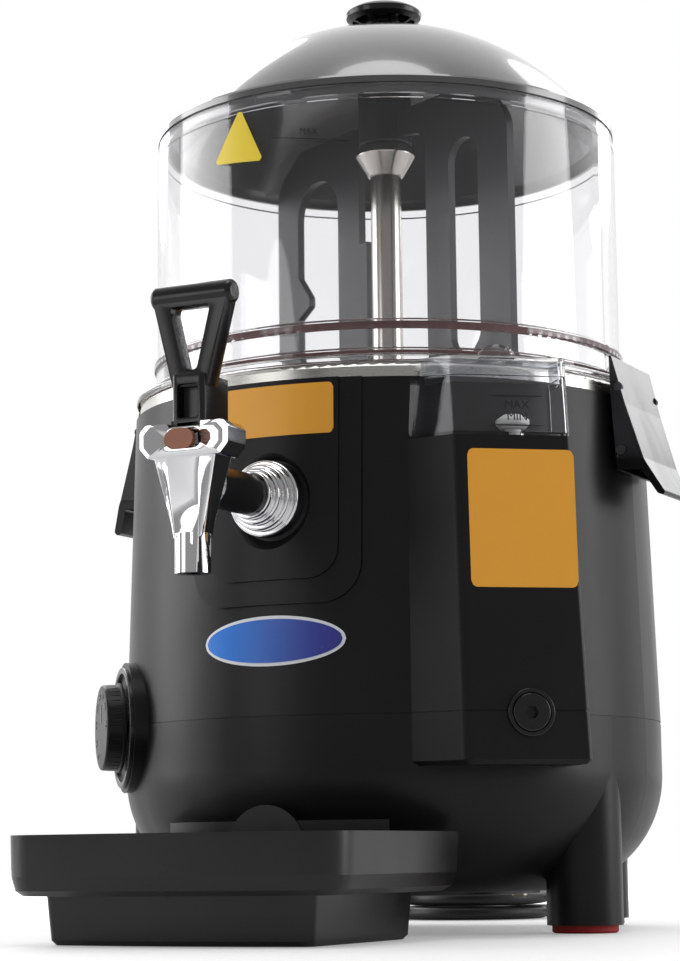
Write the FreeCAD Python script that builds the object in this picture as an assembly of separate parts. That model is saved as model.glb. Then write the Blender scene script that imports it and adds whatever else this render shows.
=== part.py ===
import FreeCAD, Part
import math
import os

from FreeCAD import Vector

# Counter-top hot drink dispenser, in millimetres.
# The origin is on the bowl's axis at the surface it stands on. +Z is up and the tap faces -Y.
# Azimuths are in degrees from the front (-Y), positive towards +X.

UP = Vector(0, 0, 1)
FRONT = Vector(0, -1, 0)
RIGHT = Vector(1, 0, 0)

# Clearances
GAP = 0.3
SHAFT_GAP = 0.06
FIT = 0.05

# Housing
SEAM_Z = 97.5
SEAM_R = 130.3
HOUSING_TOP_Z = 249.5
HOUSING_TOP_R = 125.8
HOUSING_WALL = 2.6
HOUSING_LIP = 6.5
UNDERSIDE_Z = 18.5
CORNER_R = 55.0
SEAM_BEVEL = 0.5
VENT_PLATE_R = 70.0
VENT_OPENING_R = 60.0
VENT_PLATE_T = 1.2
VENT_LENGTH = 34.0
VENT_WIDTH = 3.0
VENT_PITCH = 8.0
VENT_COUNT = 9

# Legs and pads
LEG_R = 17.5
PAD_R = 15.2
PAD_T = 3.5
LEG_AZIMUTHS = (75.0, 142.5, -142.5, -75.0)

# Tank, water jacket and centre tube
TANK_R = 107.0
TANK_WALL = 1.0
TANK_FLOOR_Z = 178.0
TANK_BAND_H = 7.0
TANK_BAND_R = 123.8
JACKET_R = 116.0
JACKET_FLOOR_Z = 160.0
TUBE_R = 7.8
TUBE_WALL = 1.0
TUBE_TOP_Z = 377.0
FLARE_H = 13.5
FLARE_R = 15.2
BUSH_H = 10.0
HEATER_RING_R = 78.0
HEATER_ROD_R = 4.0

# Drive
SHAFT_R = 4.0
MOTOR_R = 30.0
MOTOR_H = 48.0
MOTOR_Z = 34.0
GEARBOX_X = 76.0
GEARBOX_Y = 64.0
GEARBOX_H = 34.0
MOTOR_FRAME_T = 1.5
MOTOR_FRAME_HALF = 40.0
MOTOR_FRAME_FOOT = 13.0
MOTOR_FRAME_W = 36.0

# Agitator
AGITATOR_AZIMUTH = 61.0
HUB_R = 13.5
HUB_BASE_Z = 391.0
HUB_TOP_Z = 428.0
HUB_WALL = 3.0
BLADE_T = 4.0
BLADE_TOP_Z = 406.0
BLADE_FOOT_Z = 182.0
NEAR_REACH = 100.0
NEAR_WINDOW_OUT = 77.5
NEAR_WINDOW_IN = 54.5
NEAR_INNER = 36.0
NEAR_WINDOW_TOP = 380.0
FAR_REACH = 96.5
FAR_WINDOW_OUT = 77.5
FAR_WINDOW_IN = 40.0
FAR_INNER = 21.0
FAR_WINDOW_TOP = 386.0
WINDOW_FOOT_Z = 268.0

# Bowl
BOWL_R = 115.3
BOWL_WALL = 2.9
BOWL_STEP_Z = 382.5
BOWL_STEP = 0.8
BOWL_TOP_Z = 390.1
BEAD_R = 117.0
UPPER_BEAD_Z = 274.3
LOWER_BEAD_Z = 260.7
BEAD_H = 3.2
SKIRT_R = 125.6
SKIRT_H = 2.6
SEAL_DEPTH = 2.6

# Lid and its knob
LID_R = 114.9
LID_RIM_H = 4.2
LID_WALL = 2.6
LID_SKIRT_R = 111.5
LID_SKIRT_H = 4.3
DOME_BASE_R = 107.5
DOME_TOP_Z = 450.0
KNOB_R = 19.6
KNOB_STEM_R = 7.0
KNOB_LIFT = 4.0
KNOB_H = 11.0
KNOB_BASE_Z = DOME_TOP_Z + KNOB_LIFT
KNOB_TOP_Z = KNOB_BASE_Z + KNOB_H
KNOB_RIBS = 8

# Escutcheon behind the tap
PANEL_HALF = 42.5
PANEL_FOOT_Z = 147.5
PANEL_RISE = 1.6
PANEL_FACE_HALF = 33.0
PANEL_FACE_FOOT_Z = 158.5
PANEL_FACE_RISE = 1.4
RECESS_OUT_R = 24.0
RECESS_IN_R = 18.4
RECESS_DEPTH = 4.0

# Tap
TAP_Z = 195.0
TAP_Y = -199.0
PIPE_R = 9.3
PIPE_BORE_R = 6.0
COLLAR_R = 17.4
COLLAR_STEPS = (2.4, 2.2, 2.0)
COLLAR_STEP_LENGTH = 4.6
COLLAR_BODY_LENGTH = 9.0
SPOUT_R = 7.8
SPOUT_Z = 155.0
SPOUT_TOP_Z = 171.0
SPOUT_BORE_R = 3.75
CHAMBER_R = 5.6
CHAMBER_Z = 187.0
HEAD_Z = 206.0
HEAD_H = 13.0
HEAD_W = 43.0
HEAD_T = 16.0
V_TOP_W = 31.0
V_FOOT_W = 13.5
V_FOOT_T = 11.0
LEVER_W = 16.0
CHEEK_T = 3.0
PIVOT_R = 2.0
PIVOT_Z = 216.6
PIVOT_FORWARD = 3.0
WINDOW_W = 18.0
WINDOW_H = 9.0
BUNG_W = 13.6
SOCKET_R = 10.8
SOCKET_DEPTH = 3.0
GRIP_Z = 276.0
GRIP_R = 5.4
GRIP_W = 40.0
GRIP_OPENING_W = 19.0
GRIP_NECK_Z = 240.5
GRIP_NECK_W = 17.0
YOKE_DEPTH = 23.0
STEM_R = 2.2
STOPPER_H = 5.0
PLUNGER_HEAD_R = 4.2

# Water column, its clear box, cover and float
COLUMN_AZIMUTH = 37.5
COLUMN_START_AZIMUTH = 28.4
COLUMN_FACE = 149.6
COLUMN_LEAN = 0.056
COLUMN_LEFT = -1.0
COLUMN_RIGHT = 55.3
COLUMN_TAPER = 0.03
COLUMN_FOOT_Z = 74.5
COLUMN_DECK_Z = 220.5
COLUMN_DEPTH = 48.0
COLUMN_SOFT_R = 7.0
COLUMN_SHARP_R = 2.5
BOX_WALL = 1.6
BOX_TOP_Z = 247.5
COVER_TOP_Z = 256.5
COVER_LIP = 3.0
COVER_BACK_AZIMUTH = 44.6
COVER_BACK_GAP = 1.0
COVER_TAB_R = 8.5
COVER_TAB_H = 6.5
COVER_TAB_ALONG = 20.5
FLOAT_R = 7.6
FLOAT_H = 6.5
FLOAT_STEM_R = 3.8
FLOAT_ALONG = 27.5
FLOAT_IN = 11.0
FLOAT_Z = 224.6
FLOAT_STEM_LENGTH = 30.0

# Drain
DRAIN_ALONG = 28.4
DRAIN_Z = 96.8
DRAIN_BOSS_R = 10.6
DRAIN_BOSS_RISE = 1.6
DRAIN_CAP_R = 8.4
DRAIN_CAP_T = 1.5
DRAIN_SOCKET_R = 3.0
DRAIN_PIPE_R = 6.5
DRAIN_PIPE_WALL = 1.0
DRAIN_ELBOW = 96.0

# Thermostat dial
DIAL_AZIMUTH = -50.0
DIAL_Z = 97.5
DIAL_BOSS_R = 31.0
DIAL_BOSS_FACE = 133.0
BEZEL_R = 28.8
BEZEL_RISE = 2.0
BEZEL_WALL = 3.0
DIAL_R = 20.6
DIAL_FACE = 144.5
DIAL_SKIRT = 9.0
DIAL_SHAFT_R = 3.0
DIAL_NECK_R = 5.0
THERMOSTAT_R = 16.0
THERMOSTAT_LENGTH = 24.0
DIAL_RIB_COUNT = 40
DIAL_RIB_DEPTH = 0.45

# Side handles
HANDLE_TOP_Z = 267.0
HANDLE_WIDTH = 54.0
HANDLE_TIP_WIDTH = 30.0
HANDLE_WEB_FOOT_Z = 212.8
HANDLE_PLATE_T = 4.0
HANDLE_TIP_REACH = 24.7
HANDLE_TIP_R = HOUSING_TOP_R + HANDLE_TIP_REACH
HANDLE_TIP_Z = 201.0
HANDLE_KNEE_REACH = 15.7
HANDLE_KNEE_R = HOUSING_TOP_R + HANDLE_KNEE_REACH
HANDLE_KNEE_Z = 217.5
HANDLE_SHOULDER_REACH = 7.7
HANDLE_SHOULDER_R = HOUSING_TOP_R + HANDLE_SHOULDER_REACH
HANDLE_SHOULDER_Z = 244.0
HANDLE_CREST_REACH = 0.4
HANDLE_CREST_R = HOUSING_TOP_R + HANDLE_CREST_REACH
HANDLE_WALL = 2.6
HANDLE_SCREW_Z = (222.0, 252.0)
HANDLE_SCREW_R = 2.2

# Drip tray
TRAY_FRONT_Y = -236.0
TRAY_BOW_R = 330.0
TRAY_W = 160.0
TRAY_CORNER_R = 17.0
TRAY_RIM_Z = 46.0
TRAY_FLOOR_Z = 20.5
TRAY_WALL = 2.4
TRAY_BEVEL = 8.0
TRAY_BASE_INSET = 17.0
TRAY_BACK_R = 133.0
TRAY_UPSTAND_Z = 51.5
TRAY_UPSTAND_ANGLE = 24.0
TRAY_UPSTAND_T = 1.8
TRAY_UPSTAND_SET = 0.3
TAB_R = 19.3
TAB_TOP_Z = 58.5
TAB_T = 1.8
TAB_BUMPER_R = 8.0
TAB_BUMPER_Z = 49.0
GRILLE_T = 1.6
GRILLE_DROP = 3.0
GRILLE_SLOT_W = 4.0
GRILLE_PITCH = 9.0
GRILLE_COLUMNS = 13
GRILLE_ROWS = ((-226.0, -198.0), (-192.0, -164.0))
GRILLE_REST_X = 66.0
GRILLE_REST_Y = (-210.0, -150.0)
GRILLE_REST_R = 4.0

# Mains lead
CORD_D = 7.0
CORD_EXIT_AZIMUTH = 180.0
CORD_EXIT_Z = 78.0
GLAND_R = 7.5
GLAND_LENGTH = 12.0
COIL_X = -44.0
COIL_Y = 200.0
COIL_OUTER_R = 44.5
COIL_PITCH = 7.6
COIL_TURNS = 6.25
COIL_START = 60.0
COIL_REVERSAL = 3.25
PLUG_TAIL = 21.0
PLUG_R = 18.5
PLUG_LENGTH = 36.0
PLUG_PIN_R = 2.4
PLUG_PIN_LENGTH = 19.0
PLUG_PIN_PITCH = 19.0

PARTS = {}


def polar(azimuth, radius, z=0.0):
    """Point at an azimuth and radius from the bowl's axis."""
    angle = math.radians(azimuth)
    return Vector(radius * math.sin(angle), -radius * math.cos(angle), z)


def sideways(azimuth):
    """Unit vector along the housing's skin at an azimuth, towards larger azimuths."""
    angle = math.radians(azimuth)
    return Vector(math.cos(angle), math.sin(angle), 0)


def corner_arc(before, point, after, radius):
    """Start, middle and end of the arc that rounds one corner."""
    back = (before - point).normalize()
    ahead = (after - point).normalize()
    half = back.getAngle(ahead) / 2
    bisector = (back + ahead).normalize()
    centre = point + bisector * (radius / math.sin(half))
    reach = radius / math.tan(half)
    return point + back * reach, centre - bisector * radius, point + ahead * reach


def rounded_wire(points, radii):
    """Closed wire through the points, each corner rounded by its own radius, 0 for a sharp one."""
    count = len(points)
    corners = []
    for i, point in enumerate(points):
        if radii[i] > 0:
            corners.append(corner_arc(points[i - 1], point, points[(i + 1) % count], radii[i]))
        else:
            corners.append((point, point, point))
    edges = []
    for i, (start, middle, end) in enumerate(corners):
        if radii[i] > 0:
            edges.append(Part.Arc(start, middle, end).toShape())
        following = corners[(i + 1) % count][0]
        if (following - end).Length > 1e-6:
            edges.append(Part.LineSegment(end, following).toShape())
    return Part.Wire(edges)


def even(points, radius):
    """The same radius for each corner."""
    return [radius] * len(points)


def turned(points, radii=None, origin=Vector(0, 0, 0), axis=UP, across=RIGHT):
    """Solid of revolution from a profile of (radius, height) points."""
    path = [origin + across * r + axis * h for r, h in points]
    wire = rounded_wire(path, radii or even(points, 0))
    return Part.Face(wire).revolve(origin, axis, 360)


def rod(radius, start, end):
    """Round bar between two points."""
    way = end - start
    return Part.makeCylinder(radius, way.Length, start, way)


def pipe(outer, inner, start, end):
    """Round tube between two points."""
    return rod(outer, start, end).cut(rod(inner, start, end))


def slab(points, radii, way):
    """Flat outline swept along a straight way."""
    return Part.Face(rounded_wire(points, radii)).extrude(way)


def facing(azimuth, radius, outline):
    """Points of an outline given as (sideways, z), on the upright plane that faces an azimuth."""
    return [polar(azimuth, radius, z) + sideways(azimuth) * x for x, z in outline]


def box(low, high):
    """Block between two opposite corners."""
    size = high - low
    return Part.makeBox(size.x, size.y, size.z, low)


def fused(shapes):
    """One solid from shapes that overlap, with its seams removed."""
    return shapes[0].fuse(shapes[1:]).removeSplitter()


def housing_radius(z):
    """Outer radius of the housing's skin, which tapers above the seam."""
    if z <= SEAM_Z:
        return SEAM_R
    return SEAM_R + (HOUSING_TOP_R - SEAM_R) * (z - SEAM_Z) / (HOUSING_TOP_Z - SEAM_Z)


def housing_body(low, high, inset):
    """Solid of the tapered upper housing between two heights, inset from its skin."""
    return turned([(0, low), (housing_radius(low) - inset, low), (housing_radius(high) - inset, high), (0, high)])


def lower_body(inset, top):
    """Solid of the rounded lower housing, inset from its skin."""
    radius = SEAM_R - inset
    corner = CORNER_R - inset
    foot = UNDERSIDE_Z + inset
    return turned([(0, foot), (radius, foot), (radius, top), (0, top)], [0, corner, 0, 0])


def column_face(z):
    """Distance of the column's front face from the axis; it leans back as it rises."""
    return COLUMN_FACE - (z - SEAM_Z) * COLUMN_LEAN


def column_point(along, depth, z):
    """Point on the column: along its face, and depth behind that face."""
    return polar(COLUMN_AZIMUTH, column_face(z) - depth, z) + sideways(COLUMN_AZIMUTH) * along


def shrunk(points, inset):
    """Corners of a closed outline, anticlockwise from above, moved inwards by an inset."""
    moved = []
    count = len(points)
    for i, point in enumerate(points):
        back = (point - points[i - 1]).normalize()
        ahead = (points[(i + 1) % count] - point).normalize()
        inward = UP.cross(back).normalize() + UP.cross(ahead).normalize()
        moved.append(point + inward * (inset / (1 + back.dot(ahead))))
    return moved


def column_wire(z, inset):
    """Outline of the column at a height, inset from its skin."""
    right = COLUMN_RIGHT - (z - SEAM_Z) * COLUMN_TAPER
    start = polar(COLUMN_START_AZIMUTH, housing_radius(z) - GAP, z)
    points = [
        start,
        column_point(COLUMN_LEFT, 0, z),
        column_point(right, 0, z),
        column_point(right, COLUMN_DEPTH, z),
        column_point(COLUMN_LEFT, COLUMN_DEPTH, z),
    ]
    radii = [0, max(COLUMN_SOFT_R - inset, 1), max(COLUMN_SHARP_R - inset, 0.4), 0, 0]
    return rounded_wire(shrunk(points, inset), radii)


def column_block(low, high, inset, foot_bevel=0.0):
    """Solid of the column between two heights, with a bevelled foot where it ends."""
    sections = [column_wire(low + foot_bevel, inset), column_wire(high, inset)]
    if foot_bevel > 0:
        sections.insert(0, column_wire(low, inset + foot_bevel))
    return Part.makeLoft(sections, True, True)


def dial_axis(radius):
    """Point on the dial's axis."""
    return polar(DIAL_AZIMUTH, radius, DIAL_Z)


def drain_axis(out):
    """Point on the drain's axis, measured outwards from the column's face."""
    return column_point(DRAIN_ALONG, -out, DRAIN_Z)


def drain_way():
    """Unit vector out of the drain."""
    return polar(COLUMN_AZIMUTH, 1.0)


def leg_axis(azimuth, z):
    """Point on a leg's axis; the legs stand flush with the housing's skin."""
    return polar(azimuth, SEAM_R - LEG_R, z)


def panel_outline(half, foot, top, corner):
    """Rounded outline of the escutcheon, open at the top edge of the housing."""
    outline = [(-half, top), (-half, foot), (half, foot), (half, top)]
    points = facing(0, 0, outline)
    return points, [0, corner, corner, 0]


def make_lower_housing():
    """Lower shell with its legs, the foot of the column and half of the dial boss."""
    outside = lower_body(0, SEAM_Z)
    legs = [rod(LEG_R, leg_axis(a, PAD_T), leg_axis(a, SEAM_Z - SEAM_BEVEL)) for a in LEG_AZIMUTHS]
    column = column_block(COLUMN_FOOT_Z, SEAM_Z, 0, 2.0)
    boss = rod(DIAL_BOSS_R, dial_axis(SEAM_R - 30), dial_axis(DIAL_BOSS_FACE))
    below = box(Vector(-200, -200, 0), Vector(200, 200, SEAM_Z))
    outside = fused([outside, column, boss.common(below)] + legs)
    inside = lower_body(HOUSING_WALL, SEAM_Z + 1)
    column_inside = column_block(COLUMN_FOOT_Z + HOUSING_WALL, SEAM_Z + 1, HOUSING_WALL)
    opening = rod(VENT_OPENING_R, Vector(0, 0, UNDERSIDE_Z - 1), Vector(0, 0, UNDERSIDE_Z + 8))
    shell = outside.cut(inside).cut(column_inside).cut(opening)
    shell = shell.cut(pad_sockets())
    shell = shell.cut(rod(DIAL_NECK_R + FIT, dial_axis(SEAM_R - 32), dial_axis(DIAL_BOSS_FACE + 1)))
    shell = shell.cut(drain_bore()).cut(seam_groove())
    exit_start = polar(CORD_EXIT_AZIMUTH, SEAM_R - 40, CORD_EXIT_Z)
    exit_end = polar(CORD_EXIT_AZIMUTH, SEAM_R + 5, CORD_EXIT_Z)
    shell = shell.cut(rod(GLAND_R - 2.2 + FIT, exit_start, exit_end))
    PARTS["lower_housing"] = shell


def pad_sockets():
    """Shallow screw sockets in the feet of the legs."""
    sockets = [rod(3.0, leg_axis(a, PAD_T - 1), leg_axis(a, PAD_T + 8)) for a in LEG_AZIMUTHS]
    return Part.makeCompound(sockets)


def seam_groove():
    """Shallow groove round the skin where the two halves of the housing meet."""
    low, high = SEAM_Z - SEAM_BEVEL, SEAM_Z + SEAM_BEVEL
    ring = turned([(0, low), (SEAM_R + 1, low), (SEAM_R + 1, high), (0, high)])
    outer = ring.fuse(column_block(low, high, -1))
    inner = turned([(0, low - 1), (SEAM_R - SEAM_BEVEL, low - 1), (SEAM_R - SEAM_BEVEL, high + 1), (0, high + 1)])
    inner = inner.fuse(column_block(low - 1, high + 1, SEAM_BEVEL))
    dial = rod(DIAL_BOSS_R + 1, dial_axis(SEAM_R - 30), dial_axis(DIAL_BOSS_FACE + 2))
    return outer.cut(inner).cut(dial)


def drain_bore():
    """Bore and counterbore for the drain plug, through the column's face."""
    bore = rod(DRAIN_PIPE_R + FIT, drain_axis(-12), drain_axis(5))
    seat = rod(DRAIN_CAP_R + GAP, drain_axis(-DRAIN_CAP_T + 0.6), drain_axis(5))
    return bore.fuse(seat)


def make_upper_housing():
    """Upper shell with the escutcheon, the column and half of the dial boss."""
    outside = housing_body(SEAM_Z, HOUSING_TOP_Z, 0)
    points, radii = panel_outline(PANEL_HALF, PANEL_FOOT_Z, HOUSING_TOP_Z, 18)
    panel = slab(points, radii, FRONT * 200).common(housing_body(SEAM_Z, HOUSING_TOP_Z, -PANEL_RISE))
    points, radii = panel_outline(PANEL_FACE_HALF, PANEL_FACE_FOOT_Z, HOUSING_TOP_Z, 14)
    rise = PANEL_RISE + PANEL_FACE_RISE
    face = slab(points, radii, FRONT * 200).common(housing_body(SEAM_Z, HOUSING_TOP_Z, -rise))
    column = column_block(SEAM_Z, COLUMN_DECK_Z, 0)
    boss = rod(DIAL_BOSS_R, dial_axis(SEAM_R - 30), dial_axis(DIAL_BOSS_FACE))
    above = box(Vector(-200, -200, SEAM_Z), Vector(200, 200, HOUSING_TOP_Z))
    outside = fused([outside, panel, face, column, boss.common(above)])
    inside = turned([
        (0, SEAM_Z - 1),
        (SEAM_R - HOUSING_WALL, SEAM_Z - 1),
        (SEAM_R - HOUSING_WALL, SEAM_Z),
        (HOUSING_TOP_R - HOUSING_WALL, HOUSING_TOP_Z - HOUSING_WALL),
        (HOUSING_TOP_R - HOUSING_LIP, HOUSING_TOP_Z - HOUSING_WALL),
        (HOUSING_TOP_R - HOUSING_LIP, HOUSING_TOP_Z + 1),
        (0, HOUSING_TOP_Z + 1),
    ])
    column_inside = column_block(SEAM_Z - 1, COLUMN_DECK_Z - HOUSING_WALL, HOUSING_WALL)
    shell = outside.cut(inside).cut(column_inside)
    shell = fused([shell, tap_socket()]).cut(tap_recess())
    shell = shell.cut(rod(DIAL_NECK_R + FIT, dial_axis(SEAM_R - 32), dial_axis(DIAL_BOSS_FACE + 1)))
    shell = shell.cut(drain_bore()).cut(float_hole()).cut(seam_groove())
    PARTS["upper_housing"] = shell


def panel_front():
    """Distance of the escutcheon's face from the axis at the tap's height."""
    return housing_radius(TAP_Z) + PANEL_RISE + PANEL_FACE_RISE


def recess_floor():
    """Distance of the recess floor, where the collar seats, from the axis."""
    return panel_front() - RECESS_DEPTH


def tap_socket():
    """Thickened wall behind the escutcheon that carries the tap."""
    back = housing_radius(TAP_Z) - HOUSING_WALL - 3
    return rod(RECESS_OUT_R + 1.5, Vector(0, -back, TAP_Z), Vector(0, -housing_radius(TAP_Z), TAP_Z))


def tap_recess():
    """Conical recess round the collar, and the hole for the pipe."""
    cone = Part.makeCone(RECESS_IN_R, RECESS_OUT_R, RECESS_DEPTH + 2, Vector(0, -recess_floor(), TAP_Z), FRONT)
    hole = rod(PIPE_R + FIT, Vector(0, -90, TAP_Z), Vector(0, -160, TAP_Z))
    return cone.fuse(hole)


def float_axis(z):
    """Point on the float's axis."""
    return polar(COLUMN_AZIMUTH, column_face(COLUMN_DECK_Z) - FLOAT_IN, z) + sideways(COLUMN_AZIMUTH) * FLOAT_ALONG


def float_hole():
    """Hole in the column's deck that guides the float's stem."""
    radius = FLOAT_STEM_R + GAP + 0.5
    return rod(radius, float_axis(COLUMN_DECK_Z - HOUSING_WALL - 1), float_axis(COLUMN_DECK_Z + 1))


def make_base():
    """Vented base plate, its screws and the pads under the legs."""
    plate = rod(VENT_PLATE_R, Vector(0, 0, UNDERSIDE_Z - VENT_PLATE_T), Vector(0, 0, UNDERSIDE_Z))
    slots = []
    for i in range(VENT_COUNT):
        x = (i - (VENT_COUNT - 1) / 2) * VENT_PITCH
        half = VENT_LENGTH / 2
        outline = [(x - VENT_WIDTH / 2, -half), (x + VENT_WIDTH / 2, -half), (x + VENT_WIDTH / 2, half), (x - VENT_WIDTH / 2, half)]
        points = [Vector(a, b, UNDERSIDE_Z - 3) for a, b in outline]
        slots.append(slab(points, even(points, VENT_WIDTH / 2 - 0.05), UP * 6))
    PARTS["base_plate"] = plate.cut(Part.makeCompound(slots))
    heads = []
    for azimuth in (0, 90, 180, 270):
        foot = polar(azimuth, (VENT_PLATE_R + VENT_OPENING_R) / 2, UNDERSIDE_Z - VENT_PLATE_T)
        heads.append(turned([(0, 0), (2.6, 0), (3.6, 1.0), (3.6, 1.8), (0, 1.8)], None, foot - UP * 1.8))
    PARTS["base_screws"] = Part.makeCompound(heads)
    pads = []
    for azimuth in LEG_AZIMUTHS:
        profile = [(0, 0), (PAD_R - 0.8, 0), (PAD_R, 0.8), (PAD_R, PAD_T), (0, PAD_T)]
        pads.append(turned(profile, None, leg_axis(azimuth, 0)))
    PARTS["foot_pads"] = Part.makeCompound(pads)


def make_tank():
    """Food tank with its rolled band, the water jacket round it and the heater ring."""
    band_top = HOUSING_TOP_Z + TANK_BAND_H
    outer = TANK_R + TANK_WALL
    floor = TANK_FLOOR_Z
    profile = [
        (TUBE_R + FIT, floor),
        (outer, floor),
        (outer, band_top - TANK_WALL),
        (TANK_BAND_R - TANK_WALL, band_top - TANK_WALL),
        (TANK_BAND_R - TANK_WALL, HOUSING_TOP_Z),
        (TANK_BAND_R, HOUSING_TOP_Z),
        (TANK_BAND_R, band_top),
        (TANK_R, band_top),
        (TANK_R, floor + TANK_WALL),
        (TUBE_R + FIT, floor + TANK_WALL),
    ]
    radii = [0, 6, 0, 0.8, 0, 0, 1.8, 0.8, 5, 0]
    tank = turned(profile, radii)
    hole = rod(PIPE_R + FIT, Vector(0, -90, TAP_Z), Vector(0, -150, TAP_Z))
    PARTS["food_tank"] = tank.cut(hole)
    jacket_outer = JACKET_R + TANK_WALL
    low = JACKET_FLOOR_Z
    profile = [
        (TUBE_R + FIT, low),
        (jacket_outer, low),
        (jacket_outer, band_top - TANK_WALL),
        (JACKET_R, band_top - TANK_WALL),
        (JACKET_R, low + TANK_WALL),
        (TUBE_R + FIT, low + TANK_WALL),
    ]
    jacket = turned(profile, [0, 6, 0, 0, 5, 0]).cut(hole)
    drain = drain_elbow_top()
    PARTS["water_jacket"] = jacket.cut(rod(DRAIN_PIPE_R + FIT, drain - UP * 3, drain + UP * 3))
    ring_z = JACKET_FLOOR_Z - HEATER_ROD_R
    ring = Part.makeTorus(HEATER_RING_R, HEATER_ROD_R, Vector(0, 0, ring_z))
    ends = []
    for x in (-12, 12):
        top = Vector(x, math.sqrt(HEATER_RING_R ** 2 - x ** 2), ring_z)
        ends.append(rod(HEATER_ROD_R - 1, top, top - UP * 20))
    PARTS["heater_ring"] = fused([ring] + ends)


def make_centre_tube():
    """Steel tube up the middle, its flared cup and the bush that carries the shaft."""
    foot = JACKET_FLOOR_Z - 3
    PARTS["centre_tube"] = pipe(TUBE_R, TUBE_R - TUBE_WALL, Vector(0, 0, foot), Vector(0, 0, TUBE_TOP_Z))
    base = TUBE_TOP_Z - 1.5
    top = base + FLARE_H
    profile = [
        (TUBE_R + FIT, base),
        (TUBE_R + 1.2, base),
        (FLARE_R, top - 3.5),
        (FLARE_R, top),
        (FLARE_R - 1, top),
        (FLARE_R - 1, top - 3),
        (TUBE_R + FIT, base + 1.6),
    ]
    PARTS["tube_flare"] = turned(profile, [0, 0, 2.0, 0, 0, 1.6, 0])
    bush_top = Vector(0, 0, TUBE_TOP_Z)
    bush = pipe(TUBE_R - TUBE_WALL - FIT, SHAFT_R + SHAFT_GAP, bush_top - UP * BUSH_H, bush_top)
    collar = pipe(TUBE_R, SHAFT_R + SHAFT_GAP, bush_top, bush_top + UP * 1.5)
    PARTS["shaft_bush"] = fused([bush, collar])


def make_drive():
    """Gear motor on its frame under the tank, and the shaft up to the agitator."""
    frame_top = MOTOR_Z + MOTOR_H
    PARTS["motor"] = turned(
        [(0, MOTOR_Z), (MOTOR_R - 4, MOTOR_Z), (MOTOR_R, MOTOR_Z + 4), (MOTOR_R, frame_top), (0, frame_top)],
        [0, 0, 2, 0, 0],
    )
    half_x = GEARBOX_X / 2
    half_y = GEARBOX_Y / 2
    base = frame_top + MOTOR_FRAME_T
    corners = [Vector(-half_x, -half_y, base), Vector(half_x, -half_y, base), Vector(half_x, half_y, base), Vector(-half_x, half_y, base)]
    gearbox = slab(corners, even(corners, 8), UP * GEARBOX_H)
    spigot_top = Vector(0, 0, base + GEARBOX_H + 6)
    spigot = rod(9, Vector(0, 0, base + GEARBOX_H - 1), spigot_top)
    socket = rod(SHAFT_R + SHAFT_GAP, Vector(0, 0, base + 8), spigot_top + UP)
    PARTS["gearbox"] = fused([gearbox, spigot]).cut(socket)
    low = UNDERSIDE_Z
    wall = MOTOR_FRAME_T
    leg = MOTOR_FRAME_HALF
    foot = leg + MOTOR_FRAME_FOOT
    outline = [
        (-foot, low), (-leg, low), (-leg, base - wall), (leg, base - wall), (leg, low), (foot, low),
        (foot, low + wall), (leg + wall, low + wall), (leg + wall, base), (-leg - wall, base),
        (-leg - wall, low + wall), (-foot, low + wall),
    ]
    points = [Vector(x, -MOTOR_FRAME_W / 2, z) for x, z in outline]
    frame = slab(points, even(points, 0), Vector(0, MOTOR_FRAME_W, 0))
    PARTS["motor_frame"] = frame.cut(rod(12, Vector(0, 0, base - 4), Vector(0, 0, base + 4)))
    PARTS["drive_shaft"] = rod(SHAFT_R, Vector(0, 0, base + 10), Vector(0, 0, HUB_TOP_Z - HUB_WALL - 2))


def blade(side, reach, window_out, window_in, inner, window_top, scallop):
    """One wing of the agitator in its own upright plane, with its long window."""
    way = polar(AGITATOR_AZIMUTH, side)
    plane = sideways(AGITATOR_AZIMUTH) * (-BLADE_T / 2)
    top = BLADE_TOP_Z

    def spot(radius, z):
        return way * radius + plane + UP * z

    outline = [
        spot(HUB_R - 2, top),
        spot(HUB_R - 2, window_top + 14),
        spot(inner, window_top + 10),
        spot(inner, BLADE_FOOT_Z),
        spot(reach, BLADE_FOOT_Z),
        spot(reach, window_top + 4),
        spot(reach - 22, top),
    ]
    wing = slab(outline, [0, 6, 9, 5, 8, 20, 12], sideways(AGITATOR_AZIMUTH) * BLADE_T)
    middle = (window_out + window_in) / 2
    arch = (window_out - window_in) / 2
    window = [
        spot(window_in, window_top),
        spot(window_in, WINDOW_FOOT_Z + 12),
        spot(middle, WINDOW_FOOT_Z),
        spot(window_out, WINDOW_FOOT_Z + 12),
        spot(window_out, window_top),
    ]
    depth = sideways(AGITATOR_AZIMUTH) * BLADE_T
    hole = slab(window, [arch * 0.96, 8, 6, 8, arch * 0.96], depth)
    low_window = [
        spot(window_in, WINDOW_FOOT_Z - 12),
        spot(window_in, BLADE_FOOT_Z + 12),
        spot(window_out, BLADE_FOOT_Z + 12),
        spot(window_out, WINDOW_FOOT_Z - 12),
    ]
    wing = wing.cut(hole).cut(slab(low_window, even(low_window, 8), depth))
    if scallop:
        bump = [
            spot(window_out + 1, window_top - 47),
            spot(window_out - 10, window_top - 60),
            spot(window_out - 10, window_top - 65),
            spot(window_out + 1, window_top - 71),
        ]
        high, low = window_top - 41, WINDOW_FOOT_Z - 6
        step = [spot(inner + 1, high), spot(inner - 6.3, high), spot(inner - 6.3, low), spot(inner + 1, low)]
        wing = fused([wing, slab(bump, [0, 4, 2, 0], depth), slab(step, even(step, 0), depth)])
    return wing


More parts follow.
